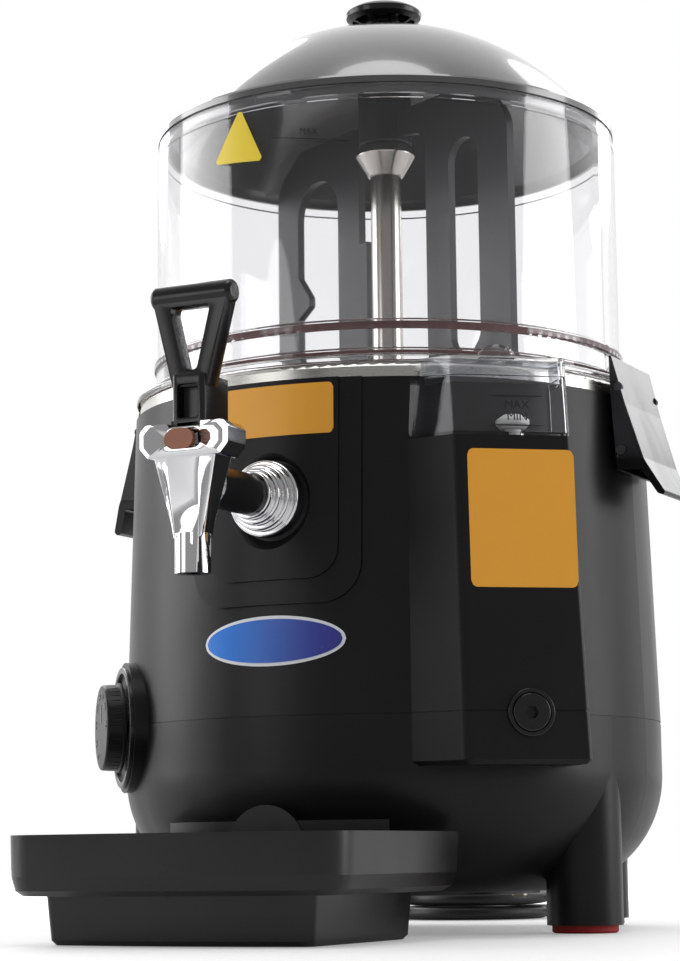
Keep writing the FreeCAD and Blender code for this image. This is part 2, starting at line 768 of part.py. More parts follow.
def make_agitator():
    """Hub that drops over the shaft, with two wings of different reach."""
    near = blade(1, NEAR_REACH, NEAR_WINDOW_OUT, NEAR_WINDOW_IN, NEAR_INNER, NEAR_WINDOW_TOP, False)
    far = blade(-1, FAR_REACH, FAR_WINDOW_OUT, FAR_WINDOW_IN, FAR_INNER, FAR_WINDOW_TOP, True)
    hub = turned(
        [(0, HUB_BASE_Z), (HUB_R, HUB_BASE_Z), (HUB_R, HUB_TOP_Z), (0, HUB_TOP_Z)], [0, 1, 3, 0]
    )
    socket = rod(SHAFT_R, Vector(0, 0, HUB_BASE_Z - 1), Vector(0, 0, HUB_TOP_Z - HUB_WALL - 2))
    inside = rod(HUB_R - 6, Vector(0, 0, HUB_BASE_Z - 1), Vector(0, 0, HUB_BASE_Z + 6))
    PARTS["agitator"] = fused([near, far, hub]).cut(socket).cut(inside)


def make_bowl():
    """Clear bowl ring with its beads and skirt, and the seals inside its foot."""
    inner = BOWL_R - BOWL_WALL
    base = HOUSING_TOP_Z + TANK_BAND_H + GAP
    upper = UPPER_BEAD_Z
    lower = LOWER_BEAD_Z
    profile = [
        (inner, base),
        (SKIRT_R, base),
        (SKIRT_R, base + SKIRT_H),
        (BEAD_R + 2, lower + 0.6),
        (BEAD_R + 2, lower + BEAD_H),
        (BOWL_R + 0.5, lower + BEAD_H + 0.8),
        (BOWL_R + 0.5, upper - 0.8),
        (BEAD_R, upper),
        (BEAD_R, upper + BEAD_H),
        (BOWL_R, upper + BEAD_H + 0.9),
        (BOWL_R, BOWL_STEP_Z),
        (BOWL_R - BOWL_STEP, BOWL_STEP_Z + 0.6),
        (BOWL_R - BOWL_STEP, BOWL_TOP_Z),
        (inner, BOWL_TOP_Z),
    ]
    radii = [0, 0.6, 1.2, 0.8, 0.8, 0.4, 0.4, 0.6, 0.6, 0.4, 0, 0, 0.6, 0.6]
    PARTS["bowl"] = turned(profile, radii)
    rings = []
    for z in (upper, lower):
        section = [(inner - SEAL_DEPTH, z + 0.4), (inner, z + 0.2), (inner, z + BEAD_H), (inner - SEAL_DEPTH, z + BEAD_H - 0.2)]
        rings.append(turned(section, [0.8, 0, 0, 0.8]))
    PARTS["bowl_seals"] = Part.makeCompound(rings)


def dome_arc(base_r, base_z, top_z):
    """Edge of a dome from its base circle up to the axis, as one arc."""
    rise = top_z - base_z
    radius = (base_r ** 2 + rise ** 2) / (2 * rise)
    half = math.asin(base_r / radius) / 2
    middle = Vector(radius * math.sin(half), 0, top_z - radius * (1 - math.cos(half)))
    return Part.Arc(Vector(base_r, 0, base_z), middle, Vector(0, 0, top_z)).toShape()


def make_lid():
    """Domed lid with its rim and locating skirt, the knob and the screw that holds it."""
    rim_z = BOWL_TOP_Z + GAP
    rim_top = rim_z + LID_RIM_H
    dome = dome_arc(DOME_BASE_R, rim_top + 1.0, DOME_TOP_Z)
    hollow = dome_arc(DOME_BASE_R - LID_WALL, rim_z, DOME_TOP_Z - LID_WALL)
    skirt_z = rim_z - LID_SKIRT_H
    corners = [
        Vector(DOME_BASE_R, 0, rim_top + 1.0),
        Vector(LID_R - 0.8, 0, rim_top),
        Vector(LID_R, 0, rim_top - 1.2),
        Vector(LID_R, 0, rim_z),
        Vector(LID_SKIRT_R, 0, rim_z),
        Vector(LID_SKIRT_R, 0, skirt_z),
        Vector(LID_SKIRT_R - 2, 0, skirt_z),
        Vector(LID_SKIRT_R - 2, 0, rim_z),
        Vector(DOME_BASE_R - LID_WALL, 0, rim_z),
    ]
    edges = [Part.LineSegment(a, b).toShape() for a, b in zip(corners, corners[1:])]
    axis_edge = Part.LineSegment(Vector(0, 0, DOME_TOP_Z - LID_WALL), Vector(0, 0, DOME_TOP_Z)).toShape()
    wire = Part.Wire(Part.__sortEdges__([dome] + edges + [hollow, axis_edge]))
    lid = Part.Face(wire).revolve(Vector(0, 0, 0), UP, 360)
    PARTS["lid"] = lid.cut(rod(2.05, Vector(0, 0, DOME_TOP_Z - 10), Vector(0, 0, DOME_TOP_Z + 10)))
    seat = DOME_TOP_Z - 0.2
    profile = [
        (0, seat),
        (KNOB_STEM_R + 2.5, seat - 0.3),
        (KNOB_STEM_R, seat + 1.2),
        (KNOB_STEM_R, KNOB_BASE_Z + 1),
        (KNOB_R - 8, KNOB_BASE_Z + 1),
        (KNOB_R - 0.6, KNOB_BASE_Z + 4.6),
        (KNOB_R, KNOB_BASE_Z + 7.4),
        (KNOB_R - 4, KNOB_TOP_Z - 1.2),
        (0, KNOB_TOP_Z),
    ]
    knob = turned(profile, [0, 0, 0.6, 1.0, 1.5, 0.8, 1.0, 3.0, 0])
    groove = turned([
        (KNOB_STEM_R + 3.4, KNOB_BASE_Z - 1),
        (KNOB_R - 6, KNOB_BASE_Z - 1),
        (KNOB_R - 3, KNOB_BASE_Z + 4.4),
        (KNOB_STEM_R + 3.4, KNOB_BASE_Z + 4.4),
    ])
    ribs = []
    for i in range(KNOB_RIBS):
        azimuth = 360 * i / KNOB_RIBS
        outline = [(KNOB_STEM_R, KNOB_BASE_Z - 2), (KNOB_R, KNOB_BASE_Z - 2), (KNOB_R, KNOB_BASE_Z + 6), (KNOB_STEM_R, KNOB_BASE_Z + 6)]
        start = sideways(azimuth) * -0.7
        points = [polar(azimuth, r, z) + start for r, z in outline]
        ribs.append(slab(points, even(points, 0), sideways(azimuth) * 1.4))
    knob = knob.cut(groove.cut(Part.makeCompound(ribs)))
    dome_rise = DOME_TOP_Z - rim_top - 1.0
    ball_r = (DOME_BASE_R ** 2 + dome_rise ** 2) / (2 * dome_rise)
    ball = Part.makeSphere(ball_r, Vector(0, 0, DOME_TOP_Z - ball_r))
    PARTS["lid_knob"] = knob.cut(ball).cut(rod(2.0, Vector(0, 0, seat - 5), Vector(0, 0, seat + 8)))
    head_top = DOME_TOP_Z - LID_WALL - 0.3
    screw = turned([
        (0, head_top - 2.4), (3.4, head_top - 2.4), (4.2, head_top - 1.2), (4.2, head_top - 0.1), (2.0, head_top - 0.1),
        (2.0, seat + 7.5), (0, seat + 7.5),
    ])
    PARTS["lid_screw"] = screw


def make_tap_mount():
    """Black pipe out of the tank and the stepped chrome collar round it."""
    start = Vector(0, -(TANK_R - 2), TAP_Z)
    end = Vector(0, pipe_end(), TAP_Z)
    PARTS["tap_pipe"] = pipe(PIPE_R, PIPE_BORE_R, start, end)
    profile = [(PIPE_R + FIT, 0), (COLLAR_R, 0)]
    radius = COLLAR_R
    length = COLLAR_BODY_LENGTH
    radii = [0, 0]
    for step in COLLAR_STEPS:
        profile.append((radius, length))
        radius -= step
        profile.append((radius, length))
        length += COLLAR_STEP_LENGTH
        radii += [1.2, 0.5]
    profile += [(radius, length), (PIPE_R + FIT, length)]
    radii += [0.8, 0]
    origin = Vector(0, -recess_floor(), TAP_Z)
    PARTS["tap_collar"] = turned(profile, radii, origin, FRONT, RIGHT)
    seat = Vector(0, -TANK_R - 1, TAP_Z)
    washer = pipe(PIPE_R + 1.7, PIPE_R + FIT, seat, seat + Vector(0, 4.5, 0))
    inside = rod(TANK_R, Vector(0, 0, TAP_Z - 30), Vector(0, 0, TAP_Z + 30))
    PARTS["tank_washer"] = washer.common(inside)


def pipe_end():
    """Where the pipe ends inside the tap body's socket."""
    return TAP_Y + HEAD_T / 2 - 0.5


def tap_section(width, depth, z, corner):
    """Rounded rectangle across the tap body at a height."""
    half_w = width / 2
    half_d = depth / 2
    outline = [(-half_w, -half_d), (half_w, -half_d), (half_w, half_d), (-half_w, half_d)]
    points = [Vector(x, TAP_Y + y, z) for x, y in outline]
    return rounded_wire(points, even(points, corner))


def make_tap_body():
    """Chrome body: the tapered front, the spout under it and the head that carries the lever."""
    head_top = HEAD_Z + HEAD_H
    wedge = Part.makeLoft([
        tap_section(V_FOOT_W, V_FOOT_T, SPOUT_TOP_Z - 1, 1.0),
        tap_section(V_TOP_W, HEAD_T, HEAD_Z + 1, 1.0),
    ], True, True)
    spout = rod(SPOUT_R, Vector(0, TAP_Y, SPOUT_Z), Vector(0, TAP_Y, SPOUT_TOP_Z + 1))
    half = HEAD_W / 2
    outline = [
        (-half + 4, HEAD_Z - 1.5), (half - 4, HEAD_Z - 1.5), (half, HEAD_Z + 3),
        (half, head_top - 3), (half - 3, head_top), (-half + 3, head_top), (-half, head_top - 3), (-half, HEAD_Z + 3),
    ]
    points = [Vector(x, TAP_Y - HEAD_T / 2, z) for x, z in outline]
    head = slab(points, even(points, 1.6), Vector(0, HEAD_T, 0))
    back = Vector(0, pipe_end() + SOCKET_DEPTH, TAP_Z)
    socket = rod(SOCKET_R, Vector(0, TAP_Y, TAP_Z), back)
    body = fused([wedge, spout, head, socket])
    lever_half = LEVER_W / 2 + GAP
    front_wall = TAP_Y - HEAD_T / 2 + 3.0
    slot = box(Vector(-lever_half, front_wall, HEAD_Z + 1.5), Vector(lever_half, TAP_Y + 20, head_top + 1))
    notch = box(Vector(-lever_half, front_wall - 5, PIVOT_Z + 0.2), Vector(lever_half, TAP_Y + 20, head_top + 1))
    body = body.cut(slot).cut(notch)
    body = body.cut(rod(SPOUT_BORE_R, Vector(0, TAP_Y, SPOUT_Z - 1), Vector(0, TAP_Y, CHAMBER_Z + 1)))
    body = body.cut(rod(CHAMBER_R, Vector(0, TAP_Y, CHAMBER_Z), Vector(0, TAP_Y, HEAD_Z - 2)))
    body = body.cut(rod(STEM_R + SHAFT_GAP, Vector(0, TAP_Y, HEAD_Z - 3), Vector(0, TAP_Y, HEAD_Z + 3)))
    body = body.cut(rod(PIPE_R + FIT, Vector(0, pipe_end() - GAP, TAP_Z), back + Vector(0, 5, 0)))
    body = body.cut(rod(PIPE_BORE_R - 1, Vector(0, TAP_Y, TAP_Z), Vector(0, TAP_Y + HEAD_T, TAP_Z)))
    body = body.cut(rod(PIVOT_R + FIT, pivot_point(-HEAD_W / 2 + 1.5), pivot_point(HEAD_W / 2 - 1.5)))
    front = TAP_Y - HEAD_T / 2
    body = body.cut(oval_plug(-WINDOW_W / 2, WINDOW_W, WINDOW_H, front - 1, front + 5))
    PARTS["tap_body"] = body
    bung_left = -WINDOW_W / 2 + FIT
    PARTS["tap_bung"] = oval_plug(bung_left, BUNG_W, WINDOW_H - 2 * FIT, front - 0.4, front + 2.6)
    PARTS["lever_pin"] = rod(PIVOT_R, pivot_point(-HEAD_W / 2 + 2), pivot_point(HEAD_W / 2 - 2))


def oval_plug(left, width, height, front, back):
    """Block with round ends that fills part of the window in the head's front wall."""
    low = HEAD_Z + 1.7 + (WINDOW_H - height) / 2
    outline = [(left, low), (left + width, low), (left + width, low + height), (left, low + height)]
    points = [Vector(x, front, z) for x, z in outline]
    return slab(points, even(points, height / 2 - 0.05), Vector(0, back - front, 0))


def pivot_point(x):
    """Point on the lever's hinge axis."""
    return Vector(x, TAP_Y - PIVOT_FORWARD, PIVOT_Z)


def make_tap_lever():
    """Lever with its two cheeks on the pin and the open grip above."""
    front = TAP_Y - HEAD_T / 2 + 3.6
    bottom = HEAD_Z + HEAD_H + 0.6
    half = LEVER_W / 2
    yoke_top = GRIP_NECK_Z
    block = slab(
        [Vector(-half, front, bottom), Vector(half, front, bottom), Vector(half, front + YOKE_DEPTH, bottom), Vector(-half, front + YOKE_DEPTH, bottom)],
        even(range(4), 2.0),
        UP * (yoke_top - bottom),
    )
    pocket = [(-half + 3, bottom + 2), (half - 3, bottom + 2), (half - 3, yoke_top - 4), (-half + 3, yoke_top - 4)]
    points = [Vector(x, front - 1, z) for x, z in pocket]
    block = block.cut(slab(points, even(points, 1.5), Vector(0, 7, 0)))
    cheeks = []
    for x in (-half, half - CHEEK_T):
        outline = [(front, bottom + 1), (front, HEAD_Z + 5), (front + 5, HEAD_Z + 2.2), (front + 12, HEAD_Z + 5), (front + 14, bottom + 1)]
        points = [Vector(x, y, z) for y, z in outline]
        cheeks.append(slab(points, [0, 2, 2, 2, 0], RIGHT * CHEEK_T))
    middle = front + 6.5
    bar_half = GRIP_W / 2
    bar = turned(
        [(0, -bar_half), (GRIP_R, -bar_half), (GRIP_R, bar_half), (0, bar_half)],
        [0, 2.6, 2.6, 0], Vector(0, middle, GRIP_Z), RIGHT, Vector(0, 0, 1),
    )
    neck = GRIP_NECK_W / 2
    outer = [(-neck, yoke_top - 5), (neck, yoke_top - 5), (bar_half - 1.2, GRIP_Z), (-bar_half + 1.2, GRIP_Z)]
    points = [Vector(x, middle - 4.4, z) for x, z in outer]
    frame = slab(points, even(points, 0), Vector(0, 8.8, 0))
    opening_half = GRIP_OPENING_W / 2
    hole = [(-3.2, yoke_top + 2.0), (3.2, yoke_top + 2.0), (opening_half, GRIP_Z - GRIP_R - 2), (opening_half - 0.5, GRIP_Z - GRIP_R + 0.4), (-opening_half + 0.5, GRIP_Z - GRIP_R + 0.4), (-opening_half, GRIP_Z - GRIP_R - 2)]
    points = [Vector(x, middle - 6, z) for x, z in hole]
    frame = frame.cut(slab(points, [2.8, 2.8, 1.5, 1, 1, 1.5], Vector(0, 12, 0)))
    lever = fused([block, bar, frame] + cheeks)
    PARTS["tap_lever"] = lever.cut(rod(PIVOT_R + SHAFT_GAP, pivot_point(-20), pivot_point(20)))


def make_tap_valve():
    """Plunger with its rubber stopper, and the spring that shuts it."""
    seat = CHAMBER_Z + GAP
    stem = rod(STEM_R, Vector(0, TAP_Y, seat + 1), Vector(0, TAP_Y, HEAD_Z + 2))
    head_z = HEAD_Z + 1.5 + GAP
    head = turned([(0, 0), (PLUNGER_HEAD_R, 0), (PLUNGER_HEAD_R, 2.5), (0, 2.5)], [0, 0.8, 0.8, 0], Vector(0, TAP_Y, head_z))
    PARTS["tap_plunger"] = fused([stem, head])
    profile = [(0, -3), (SPOUT_BORE_R - 1.2, -3), (SPOUT_BORE_R - GAP, -GAP), (CHAMBER_R - 0.4, 0), (CHAMBER_R - 0.4, STOPPER_H), (0, STOPPER_H)]
    stopper = turned(profile, [0, 0.5, 0, 0, 0.8, 0], Vector(0, TAP_Y, seat))
    PARTS["tap_stopper"] = stopper.cut(rod(STEM_R, Vector(0, TAP_Y, seat + 1), Vector(0, TAP_Y, seat + 20)))
    spring_low = Vector(0, TAP_Y, seat + STOPPER_H + 0.1)
    spring_high = Vector(0, TAP_Y, HEAD_Z - 2 - 0.1)
    PARTS["tap_spring"] = pipe(CHAMBER_R - 0.9, STEM_R + 0.6, spring_low, spring_high)


def make_water_box():
    """Clear level box on the column, its cap, the float and the drain fittings."""
    neighbours = turned([
        (0, COLUMN_DECK_Z - 1), (housing_radius(COLUMN_DECK_Z) + GAP, COLUMN_DECK_Z - 1),
        (SKIRT_R + 1.5, COVER_TOP_Z - 12), (SKIRT_R + 1.5, COVER_TOP_Z + 20), (0, COVER_TOP_Z + 20),
    ])
    outside = column_block(COLUMN_DECK_Z, BOX_TOP_Z, 0)
    inside = column_block(COLUMN_DECK_Z + BOX_WALL, BOX_TOP_Z + 1, BOX_WALL)
    stem_hole = rod(FLOAT_STEM_R + GAP + 0.5, float_axis(COLUMN_DECK_Z - 1), float_axis(COLUMN_DECK_Z + 5))
    PARTS["water_box"] = largest(outside.cut(inside).cut(neighbours).cut(stem_hole))
    cap = column_block(BOX_TOP_Z + GAP, COVER_TOP_Z, 0)
    hollow = column_block(BOX_TOP_Z - 1, COVER_TOP_Z - BOX_WALL, BOX_WALL)
    lip_out = column_block(BOX_TOP_Z - COVER_LIP, COVER_TOP_Z - 1, BOX_WALL + GAP)
    lip_in = column_block(BOX_TOP_Z - COVER_LIP - 1, COVER_TOP_Z - BOX_WALL, BOX_WALL + GAP + 1.2)
    back = polar(COVER_BACK_AZIMUTH, SKIRT_R + COVER_BACK_GAP)
    across = sideways(COVER_BACK_AZIMUTH) * 100
    inwards = polar(COVER_BACK_AZIMUTH, -80)
    corners = [back - across, back + across, back + across + inwards, back - across + inwards]
    behind = slab(corners, even(corners, 0), UP * (COVER_TOP_Z + 20))
    cover = cap.cut(hollow).fuse(lip_out.cut(lip_in)).cut(behind)
    centre = column_point(COVER_TAB_ALONG, 6, COVER_TOP_Z)
    tab = rod(COVER_TAB_R, centre, centre - drain_way() * 8)
    below = box(Vector(-300, -300, 0), Vector(300, 300, COVER_TOP_Z - 0.5))
    squash = FreeCAD.Matrix()
    squash.scale(1, 1, COVER_TAB_H / COVER_TAB_R)
    tab.translate(UP * -COVER_TOP_Z)
    tab = tab.transformGeometry(squash)
    tab.translate(UP * COVER_TOP_Z)
    PARTS["box_cover"] = largest(cover.fuse(tab.cut(below)).removeSplitter())
    profile = [(0, 0), (FLOAT_R - 2, 0), (FLOAT_R, 2), (FLOAT_R, FLOAT_H - 2.4), (FLOAT_R - 3.4, FLOAT_H), (0, FLOAT_H)]
    disc = turned(profile, [0, 0, 0.6, 0.6, 0.6, 0], float_axis(FLOAT_Z))
    stem = rod(FLOAT_STEM_R, float_axis(FLOAT_Z - FLOAT_STEM_LENGTH), float_axis(FLOAT_Z + 1))
    PARTS["level_float"] = fused([disc, stem])


def largest(shape):
    """The biggest solid of a cut, which leaves only crumbs behind."""
    return max(shape.Solids, key=lambda solid: solid.Volume)


def drain_elbow_top():
    """Where the drain pipe enters the jacket's floor."""
    corner = drain_axis(-column_face(DRAIN_Z) + DRAIN_ELBOW)
    return Vector(corner.x, corner.y, JACKET_FLOOR_Z)


def make_drain():
    """Drain pipe from the jacket to the column's face, its boss ring and the screw plug."""
    top = drain_elbow_top()
    corner = Vector(top.x, top.y, DRAIN_Z)
    bore = DRAIN_PIPE_R - DRAIN_PIPE_WALL
    outside = fused([rod(DRAIN_PIPE_R, corner, drain_axis(-DRAIN_CAP_T + 0.3)), rod(DRAIN_PIPE_R, corner, top), Part.makeSphere(DRAIN_PIPE_R, corner)])
    inside = fused([rod(bore, corner, drain_axis(5)), rod(bore, corner, top + UP), Part.makeSphere(bore, corner)])
    PARTS["drain_pipe"] = outside.cut(inside)
    face = drain_axis(0)
    inner = DRAIN_CAP_R + GAP
    ring = [(inner, 0), (DRAIN_BOSS_R, 0), (DRAIN_BOSS_R, DRAIN_BOSS_RISE), (inner, DRAIN_BOSS_RISE)]
    lean = math.degrees(math.atan(COLUMN_LEAN))
    boss = turned(ring, [0, 0, 0.6, 0.4], face, drain_way(), UP)
    boss.rotate(face, sideways(COLUMN_AZIMUTH), -lean)
    PARTS["drain_boss"] = boss
    head = [(0, -DRAIN_CAP_T + 0.9), (DRAIN_CAP_R, -DRAIN_CAP_T + 0.9), (DRAIN_CAP_R, DRAIN_BOSS_RISE + 0.6), (0, DRAIN_BOSS_RISE + 0.6)]
    cap = turned(head, [0, 0, 0.8, 0], face, drain_way(), UP)
    plug = rod(bore - GAP, drain_axis(-DRAIN_CAP_T - 9), face)
    sides = 6
    hexagon = []
    for i in range(sides):
        angle = 2 * math.pi * i / sides
        across = sideways(COLUMN_AZIMUTH) * (DRAIN_SOCKET_R * math.cos(angle))
        hexagon.append(face + across + UP * (DRAIN_SOCKET_R * math.sin(angle)) - drain_way())
    socket = slab(hexagon, even(hexagon, 0), drain_way() * 10)
    PARTS["drain_cap"] = fused([cap, plug]).cut(socket)


def make_dial():
    """Thermostat behind the skin, the bezel ring and the knob on its shaft."""
    way = polar(DIAL_AZIMUTH, 1.0)
    outer = [(BEZEL_R - BEZEL_WALL, 0), (BEZEL_R, 0), (BEZEL_R, BEZEL_RISE), (BEZEL_R - BEZEL_WALL, BEZEL_RISE)]
    PARTS["dial_bezel"] = turned(outer, [0, 0, 0.6, 0.6], dial_axis(DIAL_BOSS_FACE), way, UP)
    length = DIAL_FACE - DIAL_BOSS_FACE
    start = length - DIAL_SKIRT - 1
    profile = [
        (0, start + 1), (DIAL_R - 2, start + 1), (DIAL_R - 2, start + 0.6), (DIAL_R + 0.8, start + 0.6),
        (DIAL_R + 0.8, start + 2), (DIAL_R, start + 2.4), (DIAL_R - 0.3, length), (0, length),
    ]
    knob = turned(profile, [0, 0, 0, 0.4, 0, 0, 1.2, 0], dial_axis(DIAL_BOSS_FACE), way, UP)
    ribs = []
    for i in range(DIAL_RIB_COUNT):
        angle = 2 * math.pi * i / DIAL_RIB_COUNT
        across = sideways(DIAL_AZIMUTH) * math.cos(angle) + UP * math.sin(angle)
        foot = dial_axis(DIAL_BOSS_FACE + start + 3) + across * (DIAL_R + 0.2)
        ribs.append(rod(DIAL_RIB_DEPTH, foot, foot + way * (DIAL_SKIRT - 3)))
    knob = knob.cut(Part.makeCompound(ribs))
    body_end = housing_radius(DIAL_Z) - 30
    shaft = rod(DIAL_SHAFT_R, dial_axis(body_end), dial_axis(DIAL_BOSS_FACE + start + 2))
    PARTS["dial_knob"] = fused([knob, shaft])
    bore = DIAL_SHAFT_R + SHAFT_GAP
    can = rod(THERMOSTAT_R, dial_axis(body_end - THERMOSTAT_LENGTH), dial_axis(body_end - GAP))
    wall = SEAM_R - HOUSING_WALL - 0.7
    flange = pipe(DIAL_NECK_R + 6, bore, dial_axis(body_end - GAP), dial_axis(wall))
    neck = pipe(DIAL_NECK_R, bore, dial_axis(wall), dial_axis(DIAL_BOSS_FACE - 1))
    PARTS["thermostat"] = fused([can, flange, neck])


def handle_profile(side):
    """Outline of a side handle across its width, from the housing outwards."""
    wall = HANDLE_PLATE_T
    skin = housing_radius(HANDLE_WEB_FOOT_Z) + 0.2
    crown = SKIRT_R + 1.0
    low = HOUSING_TOP_Z - 1
    points = [
        (skin + 1, HANDLE_WEB_FOOT_Z), (HANDLE_KNEE_R - wall + 2, HANDLE_WEB_FOOT_Z), (HANDLE_TIP_R - wall - 1, HANDLE_TIP_Z + 0.5),
        (HANDLE_TIP_R, HANDLE_TIP_Z - 1.5), (HANDLE_KNEE_R, HANDLE_KNEE_Z), (HANDLE_SHOULDER_R, HANDLE_SHOULDER_Z),
        (HANDLE_CREST_R + 1.5, HANDLE_TOP_Z), (crown, HANDLE_TOP_Z - 0.5), (crown, low),
    ]
    return [Vector(side * x, -HANDLE_WIDTH / 2, z) for x, z in points]


def make_side_handles():
    """Grip handle on each side, hollow underneath for the fingers, and their screws."""
    half = HANDLE_WIDTH / 2
    tip = HANDLE_TIP_WIDTH / 2
    low = HANDLE_TIP_Z - 4
    face = [(-half, HANDLE_TOP_Z + 2), (-half + 3, HANDLE_KNEE_Z - 2), (-tip, low), (tip, low), (half - 3, HANDLE_KNEE_Z - 2), (half, HANDLE_TOP_Z + 2)]
    screws = []
    for name, side in (("right_handle", 1), ("left_handle", -1)):
        block = slab(handle_profile(side), [0, 2, 1.2, 1.4, 8, 14, 0.6, 0.6, 0], Vector(0, HANDLE_WIDTH, 0))
        trim = [Vector(side * 110, y, z) for y, z in face]
        block = block.common(slab(trim, [0, 10, 11, 11, 10, 0], RIGHT * (side * 60)))
        block = block.cut(housing_body(SEAM_Z, HOUSING_TOP_Z, -0.02))
        grip = [
            (housing_radius(HANDLE_KNEE_Z) + 3, HANDLE_WEB_FOOT_Z - 1),
            (HANDLE_KNEE_R - HANDLE_PLATE_T + 1.4, HANDLE_WEB_FOOT_Z - 1),
            (HANDLE_SHOULDER_R - HANDLE_PLATE_T + 1.5, HANDLE_SHOULDER_Z - 6),
            (housing_radius(HANDLE_SHOULDER_Z) + 2, HANDLE_SHOULDER_Z - 6),
        ]
        points = [Vector(side * x, -half + 4.5, z) for x, z in grip]
        block = block.cut(slab(points, [0, 0, 1, 1], Vector(0, HANDLE_WIDTH - 9, 0)))
        for y in (-half, half):
            for z in HANDLE_SCREW_Z:
                radius = (housing_radius(z) + HANDLE_SHOULDER_R) / 2 + 0.6
                start = Vector(side * radius, y, z)
                inward = Vector(0, -math.copysign(1.0, y), 0)
                screws.append(rod(HANDLE_SCREW_R, start + inward * 1.4, start + inward * 3.4))
                block = block.cut(rod(HANDLE_SCREW_R, start - inward * 2, start + inward * 3.4))
        PARTS[name] = largest(block)
    PARTS["handle_screws"] = Part.makeCompound(screws)


def tray_wire(z, inset, back_inset):
    """Plan outline of the drip tray at a height: bowed front, round corners, back hugging the housing."""
    half = TRAY_W / 2 - inset
    front = TRAY_FRONT_Y + inset
    bow = TRAY_BOW_R - math.sqrt(TRAY_BOW_R ** 2 - half ** 2)
    corner = max(TRAY_CORNER_R - inset, 3.0)
    back_r = TRAY_BACK_R + back_inset
    side_back = -math.sqrt(back_r ** 2 - half ** 2)
    side_front = front + bow + corner
    arc_x = half - corner
    arc_y = front + TRAY_BOW_R - math.sqrt(TRAY_BOW_R ** 2 - arc_x ** 2)
    diagonal = math.sqrt(0.5)
    left_mid = Vector(-half + corner * (1 - diagonal), (side_front + arc_y) / 2 - corner * (diagonal - 0.5), z)
    right_mid = Vector(-left_mid.x, left_mid.y, z)
    edges = [
        Part.LineSegment(Vector(-half, side_back, z), Vector(-half, side_front, z)).toShape(),
        Part.Arc(Vector(-half, side_front, z), left_mid, Vector(-arc_x, arc_y, z)).toShape(),
        Part.Arc(Vector(-arc_x, arc_y, z), Vector(0, front, z), Vector(arc_x, arc_y, z)).toShape(),
        Part.Arc(Vector(arc_x, arc_y, z), right_mid, Vector(half, side_front, z)).toShape(),
        Part.LineSegment(Vector(half, side_front, z), Vector(half, side_back, z)).toShape(),
        Part.Arc(Vector(half, side_back, z), Vector(0, -back_r, z), Vector(-half, side_back, z)).toShape(),
    ]
    return Part.Wire(edges)


def tray_block(sections):
    """Solid through tray outlines given as (z, inset, back inset)."""
    return Part.makeLoft([tray_wire(*section) for section in sections], True, True)


def make_drip_tray():
    """Drip tray with its stepped foot, the upstand and finger tab at the back, and the grille's rests."""
    bevel_z = TRAY_FLOOR_Z + TRAY_BEVEL
    inset = TRAY_BASE_INSET
    pan = tray_block([(bevel_z, 0.6, 0), (TRAY_RIM_Z, 0, 0)])
    bevel = tray_block([(TRAY_FLOOR_Z, 6.0, 1.0), (TRAY_FLOOR_Z + 2.2, 2.4, 0.4), (bevel_z, 0.6, 0)])
    foot = tray_block([(0, inset + 2.2, 5.0), (2.0, inset + 0.6, 4.0), (TRAY_FLOOR_Z + 0.5, inset - 1.0, 4.0)])
    outside = fused([pan, bevel, foot])
    wall = TRAY_WALL
    inside = tray_block([(TRAY_FLOOR_Z + wall, 8.0, wall + 1.5), (bevel_z + 1, wall + 0.6, wall), (TRAY_RIM_Z + 1, wall, wall)])
    well = tray_block([(wall, inset + wall + 1, 5.0 + wall), (TRAY_FLOOR_Z + wall + 1, inset + wall, 5.0 + wall)])
    body = outside.cut(inside).cut(well)
    near = TRAY_BACK_R + TRAY_UPSTAND_SET
    far = near + TRAY_UPSTAND_T
    low = TRAY_RIM_Z - 3
    ring = turned([(near, low), (far, low), (far, TRAY_UPSTAND_Z), (near, TRAY_UPSTAND_Z)])
    reach = TRAY_BACK_R * math.tan(math.radians(TRAY_UPSTAND_ANGLE)) * 1.5
    wedge = [Vector(0, 0, 0), Vector(-reach, -TRAY_BACK_R * 1.5, 0), Vector(reach, -TRAY_BACK_R * 1.5, 0)]
    upstand = ring.common(slab(wedge, even(wedge, 0), UP * 100))
    tab_back = Vector(0, -TRAY_BACK_R - 0.1, TAB_TOP_Z - TAB_R)
    tab = rod(TAB_R, tab_back, tab_back + FRONT * TAB_T)
    below = box(Vector(-100, -200, 0), Vector(100, 0, TRAY_RIM_Z - 3))
    bumper_front = Vector(0, -TRAY_BACK_R - 1, TAB_BUMPER_Z)
    bumper = rod(TAB_BUMPER_R, bumper_front, bumper_front - FRONT * 20).cut(lower_body(-GAP, SEAM_Z))
    rests = []
    for x in (-GRILLE_REST_X, GRILLE_REST_X):
        for y in GRILLE_REST_Y:
            top = Vector(x, y, TRAY_RIM_Z - GRILLE_DROP - GRILLE_T - GAP)
            rests.append(rod(GRILLE_REST_R, Vector(x, y, TRAY_FLOOR_Z + 1), top))
    PARTS["drip_tray"] = fused([body, upstand, tab.cut(below), bumper] + rests)
    make_tray_grille()


